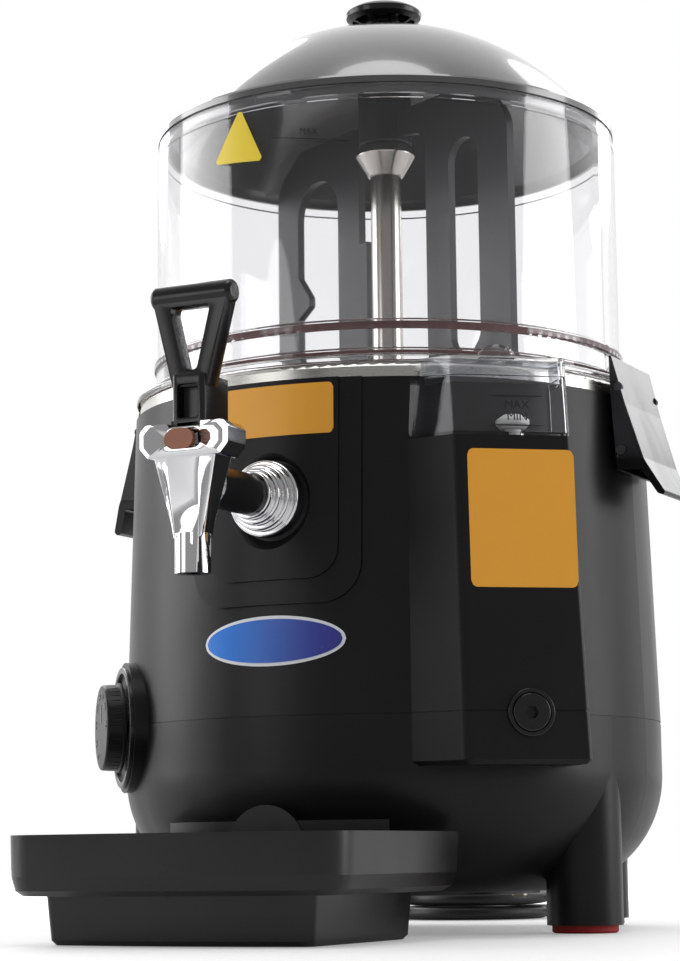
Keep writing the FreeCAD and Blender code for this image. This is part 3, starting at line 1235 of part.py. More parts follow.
def make_tray_grille():
    """Slotted grille that lies inside the tray's rim."""
    top = TRAY_RIM_Z - GRILLE_DROP
    inset = TRAY_WALL + GAP + 0.2
    back = TRAY_WALL + GAP + 1.0
    plate = tray_block([(top - GRILLE_T, inset, back), (top, inset, back)])
    slots = []
    for near, far in GRILLE_ROWS:
        for i in range(GRILLE_COLUMNS):
            x = (i - (GRILLE_COLUMNS - 1) / 2) * GRILLE_PITCH
            half = GRILLE_SLOT_W / 2
            bow = x * x / (2 * TRAY_BOW_R)
            outline = [(x - half, near + bow), (x + half, near + bow), (x + half, far), (x - half, far)]
            points = [Vector(a, b, top - 5) for a, b in outline]
            slots.append(slab(points, even(points, half - 0.05), UP * 10))
    PARTS["tray_grille"] = plate.cut(Part.makeCompound(slots))


def cord_route():
    """Hand-chosen points of the mains lead from the gland to the start of its coil."""
    start_y = SEAM_R + GLAND_LENGTH
    start = coil_point(0)
    return [
        Vector(0, start_y, CORD_EXIT_Z),
        Vector(0, start_y + 18.8, CORD_EXIT_Z),
        Vector(5.3, 178.6, 72.9),
        Vector(15.3, 192.3, 62.2),
        Vector(21.6, 201.4, 44.5),
        Vector(19.4, 210.3, 25.6),
        Vector(8.6, 220.3, 10.8),
        start - coil_tangent(0) * 18.4,
        start,
    ]


def coil_point(turn):
    """Centre line of the coil: the turns spiral in on the surface and out again on top of them."""
    angle = 2 * math.pi * turn + math.radians(COIL_START)
    low = CORD_D / 2 + 0.1
    high = low + CORD_D + 0.7
    inwards = COIL_REVERSAL - abs(turn - COIL_REVERSAL)
    radius = COIL_OUTER_R - COIL_PITCH * inwards
    z = low + (high - low) * eased(turn - COIL_REVERSAL + 0.25)
    z += (PLUG_R + 0.1 - high) * eased(turn - COIL_TURNS + 0.5)
    return Vector(COIL_X + radius * math.cos(angle), COIL_Y + radius * math.sin(angle), z)


def eased(turns):
    """Share of a climb that takes half a turn and starts and ends level."""
    share = min(max(turns / 0.5, 0.0), 1.0)
    return share * share * (3 - 2 * share)


def coil_tangent(turn):
    """Unit tangent of the coil's centre line."""
    step = 1e-4
    return (coil_point(turn + step) - coil_point(turn - step)).normalize()


def biarc(start, start_way, end, end_way):
    """Two tangent arcs that join two points and meet both directions."""
    chord = end - start
    ways = start_way + end_way
    spread = 2 * (1 - start_way.dot(end_way))
    lead = chord.dot(ways)
    reach = (math.sqrt(lead ** 2 + spread * chord.dot(chord)) - lead) / spread
    joint = (start + end + (start_way - end_way) * reach) * 0.5
    edges = []
    for first, last, tip in ((start, joint, start + start_way * reach), (joint, end, end - end_way * reach)):
        middle = (first + last) * 0.5
        cosine = (last - first).Length / 2 / (tip - first).Length
        edges.append(Part.Arc(first, middle + (tip - middle) * (cosine / (1 + cosine)), last).toShape())
    return edges


def make_cord():
    """Gland, free run of the lead, its coil and the plug."""
    points = cord_route()
    edges = []
    radii = []
    start = points[0]
    for before, point, after in zip(points, points[1:], points[2:]):
        turn = math.pi - (before - point).getAngle(after - point)
        shorter = min((before - point).Length, (after - point).Length)
        radius = 0.45 * shorter / math.tan(turn / 2)
        radii.append(radius)
        arc_start, middle, arc_end = corner_arc(before, point, after, radius)
        edges.append(Part.LineSegment(start, arc_start).toShape())
        edges.append(Part.Arc(arc_start, middle, arc_end).toShape())
        start = arc_end
    edges.append(Part.LineSegment(start, points[-1]).toShape())
    path = Part.Wire(edges)
    disc = Part.Wire(Part.makeCircle(CORD_D / 2, points[0], points[1] - points[0]))
    tube = path.makePipeShell([disc], True, False)
    print("lead: arc radii " + ", ".join(f"{radius:.0f}" for radius in radii) + " mm")
    section = math.pi * (CORD_D / 2) ** 2
    print(f"lead: volume {tube.Volume:.0f}, section times length {section * path.Length:.0f} mm3")
    PARTS["cord_run"] = tube
    make_gland()
    make_coil(path.Length)


def make_gland():
    """Strain relief that holds the lead in the housing's wall."""
    bore = CORD_D / 2 + FIT
    neck = GLAND_R - 2.2
    end = GLAND_LENGTH - 0.1
    profile = [(bore, -6), (neck, -6), (neck, 0), (GLAND_R, 0), (GLAND_R, 5), (GLAND_R - 2, end), (bore, end)]
    skin = polar(CORD_EXIT_AZIMUTH, SEAM_R, CORD_EXIT_Z)
    PARTS["cord_gland"] = turned(profile, [0, 0, 0, 0, 0.8, 0.8, 0], skin, Vector(0, 1, 0), RIGHT)


def make_coil(run_length):
    """Coil of the spare lead as one unbroken tube, and the plug at its end."""
    turns = COIL_TURNS
    edges = []
    for i in range(int(turns * 4)):
        near, far = i / 4, (i + 1) / 4
        edges += biarc(coil_point(near), coil_tangent(near), coil_point(far), coil_tangent(far))
    end = coil_point(turns)
    way = coil_tangent(turns)
    way = Vector(way.x, way.y, 0).normalize()
    tail = end + way * PLUG_TAIL
    edges.append(Part.LineSegment(end, tail).toShape())
    path = Part.Wire(edges)
    disc = Part.Wire(Part.makeCircle(CORD_D / 2, coil_point(0), coil_tangent(0)))
    coil = path.makePipeShell([disc], True, False)
    PARTS["cord_coil"] = coil
    section = math.pi * (CORD_D / 2) ** 2
    print(f"coil: {turns} turns, volume {coil.Volume:.0f}, section times length {section * path.Length:.0f} mm3")
    print(f"coil: least gap to itself {coil_gap(turns):.2f} mm")
    print(f"lead: {(run_length + path.Length) / 1000:.3f} m in all")
    make_plug(tail, way)


def coil_gap(turns):
    """Least clear distance between two turns of the coil, measured on points along it."""
    per_turn = 48
    spots = [coil_point(i / per_turn) for i in range(int(turns * per_turn) + 1)]
    least = math.inf
    for i, a in enumerate(spots):
        for b in spots[i + per_turn // 2:]:
            least = min(least, (a - b).Length)
    return least - CORD_D


def make_plug(start, way):
    """Round two-pin plug at the end of the lead."""
    side = UP.cross(way)
    profile = [(0, 0), (5.5, 0), (7.0, 12), (PLUG_R - 6, 16), (PLUG_R, 24), (PLUG_R, PLUG_LENGTH), (PLUG_R - 2, PLUG_LENGTH), (0, PLUG_LENGTH)]
    body = turned(profile, [0, 0, 3, 4, 3, 0.8, 0, 0], start, way, side)
    pins = []
    for x in (-PLUG_PIN_PITCH / 2, PLUG_PIN_PITCH / 2):
        foot = start + way * (PLUG_LENGTH - 1) + side * x
        profile = [(0, 0), (PLUG_PIN_R, 0), (PLUG_PIN_R, PLUG_PIN_LENGTH + 1), (0, PLUG_PIN_LENGTH + 1)]
        pins.append(turned(profile, [0, 0, 1.6, 0], foot, way, side))
    PARTS["plug"] = fused([body] + pins)


def build():
    """Make each node and write it out."""
    for step in (
        make_lower_housing, make_upper_housing, make_base, make_tank, make_centre_tube, make_drive, make_agitator,
        make_bowl, make_lid, make_tap_mount, make_tap_body, make_tap_lever, make_tap_valve, make_water_box,
        make_drain, make_dial, make_side_handles, make_drip_tray, make_cord,
    ):
        step()
    os.makedirs("parts", exist_ok=True)
    for name, shape in PARTS.items():
        if not shape.isValid():
            print(f"{name}: not valid")
        shape.exportStep(f"parts/{name}.step")
        print(f"{name}: {len(shape.Solids)} solids, {len(shape.Faces)} faces, {shape.Volume:.0f} mm3")


build()
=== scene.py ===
"""Counter-top hot chocolate dispenser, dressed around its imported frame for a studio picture.

Sizes in the classes are millimetres in the frame's axes: +Z up, the tap towards -Y, the origin on the
bowl's axis at the worktop. Meshes are written in metres.
"""

import logging
import math
from collections.abc import Callable, Iterable, Sequence
from dataclasses import dataclass
from enum import Enum

import bmesh
import bpy
from mathutils import Matrix, Vector


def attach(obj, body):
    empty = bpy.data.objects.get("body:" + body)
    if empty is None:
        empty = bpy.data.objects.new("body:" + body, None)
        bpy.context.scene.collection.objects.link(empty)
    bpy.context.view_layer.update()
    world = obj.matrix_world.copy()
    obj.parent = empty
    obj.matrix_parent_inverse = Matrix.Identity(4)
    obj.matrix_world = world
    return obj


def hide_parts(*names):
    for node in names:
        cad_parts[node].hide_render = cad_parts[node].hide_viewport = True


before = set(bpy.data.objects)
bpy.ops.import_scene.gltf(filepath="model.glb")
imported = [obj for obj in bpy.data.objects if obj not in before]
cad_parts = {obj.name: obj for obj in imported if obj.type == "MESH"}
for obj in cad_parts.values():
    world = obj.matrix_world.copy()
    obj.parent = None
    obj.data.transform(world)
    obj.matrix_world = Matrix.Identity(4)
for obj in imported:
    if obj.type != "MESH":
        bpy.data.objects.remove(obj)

LOG = logging.getLogger("dispenser")
MM = 0.001

Point = tuple[float, float]
Colour = tuple[float, float, float]
Onto = Callable[[float, float, float], Vector]
Node = bpy.types.Node
Socket = bpy.types.NodeSocket
Tree = bpy.types.NodeTree


class Body(Enum):
    """Moving groups of the frame that the new pieces ride on."""

    MACHINE = "machine"
    BOWL = "bowl"
    LEVER = "tap_lever"
    DIAL = "dial"


def polar(azimuth: float, radius: float, z: float = 0.0) -> Vector:
    """Point in millimetres at an azimuth from the front.

    Args:
        azimuth: Degrees from -Y, positive towards +X.
        radius: Distance from the bowl's axis.
        z: Height.

    Returns:
        The point.
    """
    angle = math.radians(azimuth)
    return Vector((radius * math.sin(angle), -radius * math.cos(angle), z))


def sideways(azimuth: float) -> Vector:
    """Unit vector along the skin at an azimuth, towards larger azimuths."""
    angle = math.radians(azimuth)
    return Vector((math.cos(angle), math.sin(angle), 0.0))


def add_node(tree: Tree, kind: str, **values: float | Sequence[float] | Socket) -> Node:
    """New shader node with some of its inputs set or linked.

    Args:
        tree: The tree it goes into.
        kind: Its type's name after ShaderNode.
        values: Value or source of inputs by name, with _ for a space.

    Returns:
        The node.
    """
    made = tree.nodes.new(f"ShaderNode{kind}")
    for label, value in values.items():
        socket = made.inputs[label.replace("_", " ")]
        if isinstance(value, Socket):
            tree.links.new(value, socket)
        else:
            socket.default_value = value
    return made


# Effects shared by the finishes


class Effects:
    """Node groups that put out masks and heights, built once and placed in each material."""

    @staticmethod
    def _start(name: str, inputs: Sequence[tuple[str, str, float]], outputs: Sequence[str]) -> tuple:
        """Make an empty group with named sockets.

        Args:
            name: The group's name.
            inputs: Name, kind and default of each input after Vector.
            outputs: Names of the value outputs.

        Returns:
            The group, its input node and its output node.
        """
        group = bpy.data.node_groups.new(name, "ShaderNodeTree")
        group.interface.new_socket("Vector", in_out="INPUT", socket_type="NodeSocketVector")
        for label, kind, value in inputs:
            socket = group.interface.new_socket(label, in_out="INPUT", socket_type=kind)
            socket.default_value = value
        for label in outputs:
            group.interface.new_socket(label, in_out="OUTPUT", socket_type="NodeSocketFloat")
        return group, group.nodes.new("NodeGroupInput"), group.nodes.new("NodeGroupOutput")

    @classmethod
    def moulded_grain(cls) -> Tree:
        """Pebbled skin of a spark-eroded mould.

        Returns:
            A group with Height for a bump and Tone for slow colour drift.
        """
        name = "moulded_grain"
        if name in bpy.data.node_groups:
            return bpy.data.node_groups[name]
        group, start, end = cls._start(name, [("Scale", "NodeSocketFloat", 900.0)], ["Height", "Tone"])
        links = group.links
        fine = add_node(group, "TexNoise", Detail=3.0, Roughness=0.6, Vector=start.outputs["Vector"],
                        Scale=start.outputs["Scale"])
        cells = add_node(group, "TexVoronoi", Vector=start.outputs["Vector"], Scale=start.outputs["Scale"])
        cells.feature = "SMOOTH_F1"
        cells.inputs["Smoothness"].default_value = 0.6
        both = add_node(group, "Math")
        both.operation = "MULTIPLY_ADD"
        both.inputs[1].default_value = 0.5
        links.new(cells.outputs["Distance"], both.inputs[0])
        links.new(fine.outputs["Fac"], both.inputs[2])
        links.new(both.outputs[0], end.inputs["Height"])
        slow = add_node(group, "TexNoise", Scale=14.0, Detail=2.0, Vector=start.outputs["Vector"])
        links.new(slow.outputs["Fac"], end.inputs["Tone"])
        return group

    @classmethod
    def handling_marks(cls) -> Tree:
        """Faint wiping marks and dust specks.

        Returns:
            A group with Wipe, a soft streaky mask, and Dust, a sparse speck mask.
        """
        name = "handling_marks"
        if name in bpy.data.node_groups:
            return bpy.data.node_groups[name]
        group, start, end = cls._start(name, [("Scale", "NodeSocketFloat", 30.0)], ["Wipe", "Dust"])
        links = group.links
        stretch = add_node(group, "Mapping", Scale=(1.0, 1.0, 0.35), Rotation=(0.5, 0.3, 0.0),
                           Vector=start.outputs["Vector"])
        streak = add_node(group, "TexNoise", Detail=4.0, Distortion=0.6,
                          Vector=stretch.outputs["Vector"], Scale=start.outputs["Scale"])
        soft = add_node(group, "MapRange", From_Min=0.42, From_Max=0.72, Value=streak.outputs["Fac"])
        soft.interpolation_type = "SMOOTHSTEP"
        links.new(soft.outputs["Result"], end.inputs["Wipe"])
        specks = add_node(group, "TexVoronoi", Scale=260.0, Vector=start.outputs["Vector"])
        sparse = add_node(group, "MapRange", From_Min=0.055, From_Max=0.03,
                          Value=specks.outputs["Distance"])
        links.new(sparse.outputs["Result"], end.inputs["Dust"])
        return group

    @classmethod
    def brush_lines(cls) -> Tree:
        """Fine lines left by a brush or a lathe, drawn out along one axis by a mapping outside.

        Returns:
            A group with Line, a streak mask, and Patch, slow changes of shine.
        """
        name = "brush_lines"
        if name in bpy.data.node_groups:
            return bpy.data.node_groups[name]
        group, start, end = cls._start(name, [("Scale", "NodeSocketFloat", 60.0)], ["Line", "Patch"])
        links = group.links
        line = add_node(group, "TexNoise", Detail=5.0, Roughness=0.65, Vector=start.outputs["Vector"],
                        Scale=start.outputs["Scale"])
        links.new(line.outputs["Fac"], end.inputs["Line"])
        patch = add_node(group, "TexNoise", Scale=6.0, Vector=start.outputs["Vector"])
        links.new(patch.outputs["Fac"], end.inputs["Patch"])
        return group


@dataclass(frozen=True)
class Finish:
    """A finish with a name of its own; its material is built on first use."""

    name: str

    def material(self) -> bpy.types.Material:
        """The finish's material.

        Returns:
            The material, made on the first call.
        """
        made = bpy.data.materials.get(self.name)
        if made is None:
            made = bpy.data.materials.new(self.name)
            made.use_nodes = True
            self._build(made.node_tree, made.node_tree.nodes["Principled BSDF"])
        return made

    def _build(self, tree: Tree, shader: Node) -> None:
        """Set up the nodes.

        Args:
            tree: The material's tree.
            shader: Its Principled shader.
        """
        raise NotImplementedError

    @staticmethod
    def _coordinates(tree: Tree, scale: Sequence[float] = (1.0, 1.0, 1.0)) -> Socket:
        """Object coordinates, stretched by a scale.

        Args:
            tree: The material's tree.
            scale: Factor along each axis.

        Returns:
            The vector socket.
        """
        source = add_node(tree, "TexCoord")
        mapping = add_node(tree, "Mapping", Scale=scale, Vector=source.outputs["Object"])
        return mapping.outputs["Vector"]

    @staticmethod
    def _group(tree: Tree, group: Tree, vector: Socket,
               scale: float) -> Node:
        """Place an effect in a material.

        Args:
            tree: The material's tree.
            group: The effect.
            vector: Coordinates for it.
            scale: Its Scale input.

        Returns:
            The group node.
        """
        node = add_node(tree, "Group")
        node.node_tree = group
        tree.links.new(vector, node.inputs["Vector"])
        node.inputs["Scale"].default_value = scale
        return node

    @staticmethod
    def _range(tree: Tree, value: Socket, low: float, high: float) -> Socket:
        """Spread a 0 to 1 mask between two values.

        Args:
            tree: The material's tree.
            value: The mask.
            low: Value at 0.
            high: Value at 1.

        Returns:
            The result socket.
        """
        node = add_node(tree, "MapRange", To_Min=low, To_Max=high, Value=value)
        return node.outputs["Result"]

    @staticmethod
    def _blend(tree: Tree, mask: Socket, first: Socket | Colour,
               second: Colour) -> Socket:
        """Mix two colours by a mask.

        Args:
            tree: The material's tree.
            mask: The mask.
            first: Colour or socket where the mask is 0.
            second: Colour where it is 1.

        Returns:
            The colour socket.
        """
        node = add_node(tree, "Mix")
        node.data_type = "RGBA"
        tree.links.new(mask, node.inputs[0])
        if isinstance(first, Socket):
            tree.links.new(first, node.inputs[6])
        else:
            node.inputs[6].default_value = (*first, 1.0)
        node.inputs[7].default_value = (*second, 1.0)
        return node.outputs[2]

    @staticmethod
    def _bump(tree: Tree, height: Socket, strength: float, distance: float,
              shader: Node) -> None:
        """Feed a height to the shader's normal.

        Args:
            tree: The material's tree.
            height: The height socket.
            strength: Strength of the bump.
            distance: Depth in metres.
            shader: The shader.
        """
        node = add_node(tree, "Bump", Strength=strength, Distance=distance, Height=height)
        tree.links.new(node.outputs["Normal"], shader.inputs["Normal"])


@dataclass(frozen=True)
class Plastic(Finish):
    """Moulded plastic or rubber: slow tone drift, mould grain, wiping marks and a little dust."""

    base: Colour
    worn: Colour
    roughness: float = 0.4
    spread: float = 0.08
    specular: float = 0.4
    grain: float = 900.0
    depth: float = 0.00004
    marks: float = 28.0
    coat: float = 0.0

    def _build(self, tree: Tree, shader: Node) -> None:
        """Set up the nodes of this kind of finish."""
        vector = self._coordinates(tree)
        grain = self._group(tree, Effects.moulded_grain(), vector, self.grain)
        marks = self._group(tree, Effects.handling_marks(), vector, self.marks)
        tone = self._blend(tree, grain.outputs["Tone"], self.base, self.worn)
        dust = tuple(min(c * 1.6 + 0.01, 1.0) for c in self.worn)
        dusty = self._blend(tree, marks.outputs["Dust"], tone, dust)
        tree.links.new(dusty, shader.inputs["Base Color"])
        rough = self._range(tree, marks.outputs["Wipe"], self.roughness, self.roughness + self.spread)
        tree.links.new(rough, shader.inputs["Roughness"])
        self._bump(tree, grain.outputs["Height"], 0.5, self.depth, shader)
        shader.inputs["Specular IOR Level"].default_value = self.specular
        shader.inputs["Coat Weight"].default_value = self.coat
        shader.inputs["Coat Roughness"].default_value = 0.06


@dataclass(frozen=True)
class Metal(Finish):
    """Bare or plated metal with brush lines along one axis and slow changes of shine."""

    base: Colour
    tarnish: Colour
    roughness: float = 0.2
    spread: float = 0.12
    stretch: Colour = (1.0, 1.0, 18.0)
    lines: float = 45.0
    depth: float = 0.00001

    def _build(self, tree: Tree, shader: Node) -> None:
        """Set up the nodes of this kind of finish."""
        vector = self._coordinates(tree, self.stretch)
        brush = self._group(tree, Effects.brush_lines(), vector, self.lines)
        colour = self._blend(tree, brush.outputs["Patch"], self.base, self.tarnish)
        tree.links.new(colour, shader.inputs["Base Color"])
        rough = self._range(tree, brush.outputs["Line"], self.roughness, self.roughness + self.spread)
        tree.links.new(rough, shader.inputs["Roughness"])
        self._bump(tree, brush.outputs["Line"], 0.3, self.depth, shader)
        shader.inputs["Metallic"].default_value = 1.0


@dataclass(frozen=True)
class Clear(Finish):
    """Clear moulded plastic with faint wiping marks; lamps shine through it."""

    tint: Colour = (0.97, 0.97, 0.985)
    roughness: float = 0.01
    ior: float = 1.49

    def _build(self, tree: Tree, shader: Node) -> None:
        """Set up the nodes of this kind of finish."""
        vector = self._coordinates(tree)
        marks = self._group(tree, Effects.handling_marks(), vector, 22.0)
        rough = self._range(tree, marks.outputs["Wipe"], self.roughness, self.roughness + 0.03)
        tree.links.new(rough, shader.inputs["Roughness"])
        colour = self._blend(tree, marks.outputs["Dust"], self.tint, (0.9, 0.9, 0.92))
        tree.links.new(colour, shader.inputs["Base Color"])
        shader.inputs["Transmission Weight"].default_value = 1.0
        shader.inputs["IOR"].default_value = self.ior
        through = add_node(tree, "BsdfTransparent", Color=(0.95, 0.95, 0.96, 1.0))
        rays = add_node(tree, "LightPath")
        mix = add_node(tree, "MixShader")
        tree.links.new(rays.outputs["Is Shadow Ray"], mix.inputs[0])
        tree.links.new(shader.outputs[0], mix.inputs[1])
        tree.links.new(through.outputs[0], mix.inputs[2])
        tree.links.new(mix.outputs[0], tree.nodes["Material Output"].inputs["Surface"])


@dataclass(frozen=True)
class Film(Finish):
    """Printed film: two inks that run into each other along X, with a faint paper tooth."""

    left: Colour
    right: Colour
    start: float = -0.036
    end: float = 0.036
    roughness: float = 0.35

    def _build(self, tree: Tree, shader: Node) -> None:
        """Set up the nodes of this kind of finish."""
        vector = self._coordinates(tree)
        split = add_node(tree, "SeparateXYZ")
        tree.links.new(vector, split.inputs[0])
        along = add_node(tree, "MapRange", From_Min=self.start, From_Max=self.end,
                         Value=split.outputs["X"])
        along.interpolation_type = "SMOOTHSTEP"
        inks = self._blend(tree, along.outputs["Result"], self.left, self.right)
        marks = self._group(tree, Effects.handling_marks(), vector, 40.0)
        paler = tuple(min(c * 1.15 + 0.02, 1.0) for c in self.left)
        colour = self._blend(tree, marks.outputs["Dust"], inks, paler)
        tree.links.new(colour, shader.inputs["Base Color"])
        rough = self._range(tree, marks.outputs["Wipe"], self.roughness, self.roughness + 0.1)
        tree.links.new(rough, shader.inputs["Roughness"])
        grain = self._group(tree, Effects.moulded_grain(), vector, 2500.0)
        self._bump(tree, grain.outputs["Height"], 0.2, 0.00002, shader)


class Finishes:
    """The finishes of the machine."""

    HOUSING = Plastic("satin_black_housing", (0.0060, 0.0060, 0.0066), (0.0095, 0.0095, 0.0104),
                      roughness=0.33, spread=0.07, specular=0.24)
    GLOSS = Plastic("gloss_black_plastic", (0.006, 0.006, 0.0065), (0.01, 0.01, 0.011),
                    roughness=0.2, spread=0.08, specular=0.42, grain=1400.0, depth=0.00001)
    LID = Plastic("satin_grey_lid", (0.040, 0.040, 0.042), (0.052, 0.052, 0.055),
                  roughness=0.22, spread=0.05, specular=1.0, grain=1500.0, depth=0.00001, marks=28.0,
                  coat=0.9)
    PADDLE = Plastic("matt_black_paddle", (0.022, 0.022, 0.025), (0.034, 0.034, 0.038),
                     roughness=0.42, spread=0.08, specular=0.4)
    FOOT = Plastic("red_foot_rubber", (0.28, 0.012, 0.012), (0.36, 0.02, 0.02),
                   roughness=0.6, spread=0.1, specular=0.3)
    SEAL = Plastic("brown_seal_silicone", (0.10, 0.042, 0.045), (0.14, 0.06, 0.062),
                   roughness=0.42, spread=0.1, specular=0.4)
    BUNG = Plastic("copper_brown_silicone", (0.30, 0.115, 0.07), (0.36, 0.15, 0.095),
                   roughness=0.45, spread=0.1, specular=0.4)
    FLOAT = Plastic("ivory_float", (0.78, 0.78, 0.74), (0.7, 0.7, 0.66),
                    roughness=0.3, spread=0.1, specular=0.5)
    BUSH = Plastic("natural_acetal", (0.72, 0.71, 0.66), (0.64, 0.63, 0.58),
                   roughness=0.3, spread=0.1, specular=0.5)
    CORD = Plastic("black_cord_sheath", (0.012, 0.012, 0.013), (0.02, 0.02, 0.021),
                   roughness=0.42, spread=0.1, specular=0.4)
    MARK = Plastic("black_marking_ink", (0.012, 0.012, 0.014), (0.02, 0.02, 0.022),
                   roughness=0.4, spread=0.1, specular=0.4)
    PALE_MARK = Plastic("grey_marking_ink", (0.30, 0.30, 0.31), (0.36, 0.36, 0.37),
                        roughness=0.4, spread=0.1, specular=0.4)
    WHITE_RIM = Plastic("white_film_rim", (0.86, 0.87, 0.90), (0.8, 0.81, 0.84),
                        roughness=0.35, spread=0.08, specular=0.4)
    MOTOR = Plastic("dark_motor_enamel", (0.03, 0.03, 0.034), (0.05, 0.05, 0.055),
                    roughness=0.35, spread=0.15, specular=0.5)
    CHROME = Metal("polished_chrome", (0.86, 0.86, 0.87), (0.80, 0.80, 0.82),
                   roughness=0.045, spread=0.05, stretch=(1.0, 1.0, 1.0), lines=30.0, depth=0.000002)
    STEEL = Metal("brushed_tank_steel", (0.66, 0.65, 0.62), (0.56, 0.55, 0.52),
                  roughness=0.2, spread=0.16)
    TUBE = Metal("drawn_tube_steel", (0.60, 0.57, 0.54), (0.50, 0.47, 0.44),
                 roughness=0.12, spread=0.12, stretch=(20.0, 20.0, 1.0), lines=30.0)
    CAST = Metal("cast_gearbox", (0.52, 0.52, 0.52), (0.44, 0.44, 0.44),
                 roughness=0.4, spread=0.2, stretch=(1.0, 1.0, 1.0), lines=80.0, depth=0.00005)
    ZINC = Metal("yellow_zinc_plate", (0.62, 0.60, 0.50), (0.54, 0.50, 0.40),
                 roughness=0.28, spread=0.15)
    BOWL = Clear("clear_bowl", (0.975, 0.975, 0.985))
    LEVEL_BOX = Clear("clear_level_box", (0.90, 0.91, 0.935), roughness=0.02)
    ORANGE = Film("orange_plate_film", (0.86, 0.40, 0.038), (0.84, 0.375, 0.032), start=-0.1, end=0.1)
    YELLOW = Film("yellow_plate_film", (0.86, 0.64, 0.03), (0.84, 0.6, 0.025))
    BLUE = Film("blue_badge_film", (0.004, 0.20, 0.78), (0.032, 0.030, 0.27))


NODES_OF_FINISH: Sequence[tuple[Finish, str]] = (
    (Finishes.HOUSING, "lower_housing upper_housing dial_knob"),
    (Finishes.MOTOR, "base_plate motor thermostat handle_screws"),
    (Finishes.ZINC, "base_screws motor_frame lid_screw"),
    (Finishes.FOOT, "foot_pads"),
    (Finishes.STEEL, "food_tank water_jacket"),
    (Finishes.TUBE, "heater_ring centre_tube tube_flare drive_shaft lever_pin tap_plunger tap_spring "
                    "drain_pipe"),
    (Finishes.BUSH, "shaft_bush"),
    (Finishes.CAST, "gearbox"),
    (Finishes.PADDLE, "agitator"),
    (Finishes.BOWL, "bowl"),
    (Finishes.SEAL, "bowl_seals"),
    (Finishes.LID, "lid"),
    (Finishes.GLOSS, "lid_knob tap_pipe tap_lever drain_boss drain_cap dial_bezel right_handle "
                     "left_handle drip_tray tray_grille"),
    (Finishes.CHROME, "tap_collar tap_body"),
    (Finishes.BUNG, "tank_washer tap_bung tap_stopper"),
    (Finishes.LEVEL_BOX, "water_box box_cover"),
    (Finishes.FLOAT, "level_float"),
    (Finishes.CORD, "cord_gland"),
)


# Mesh helpers


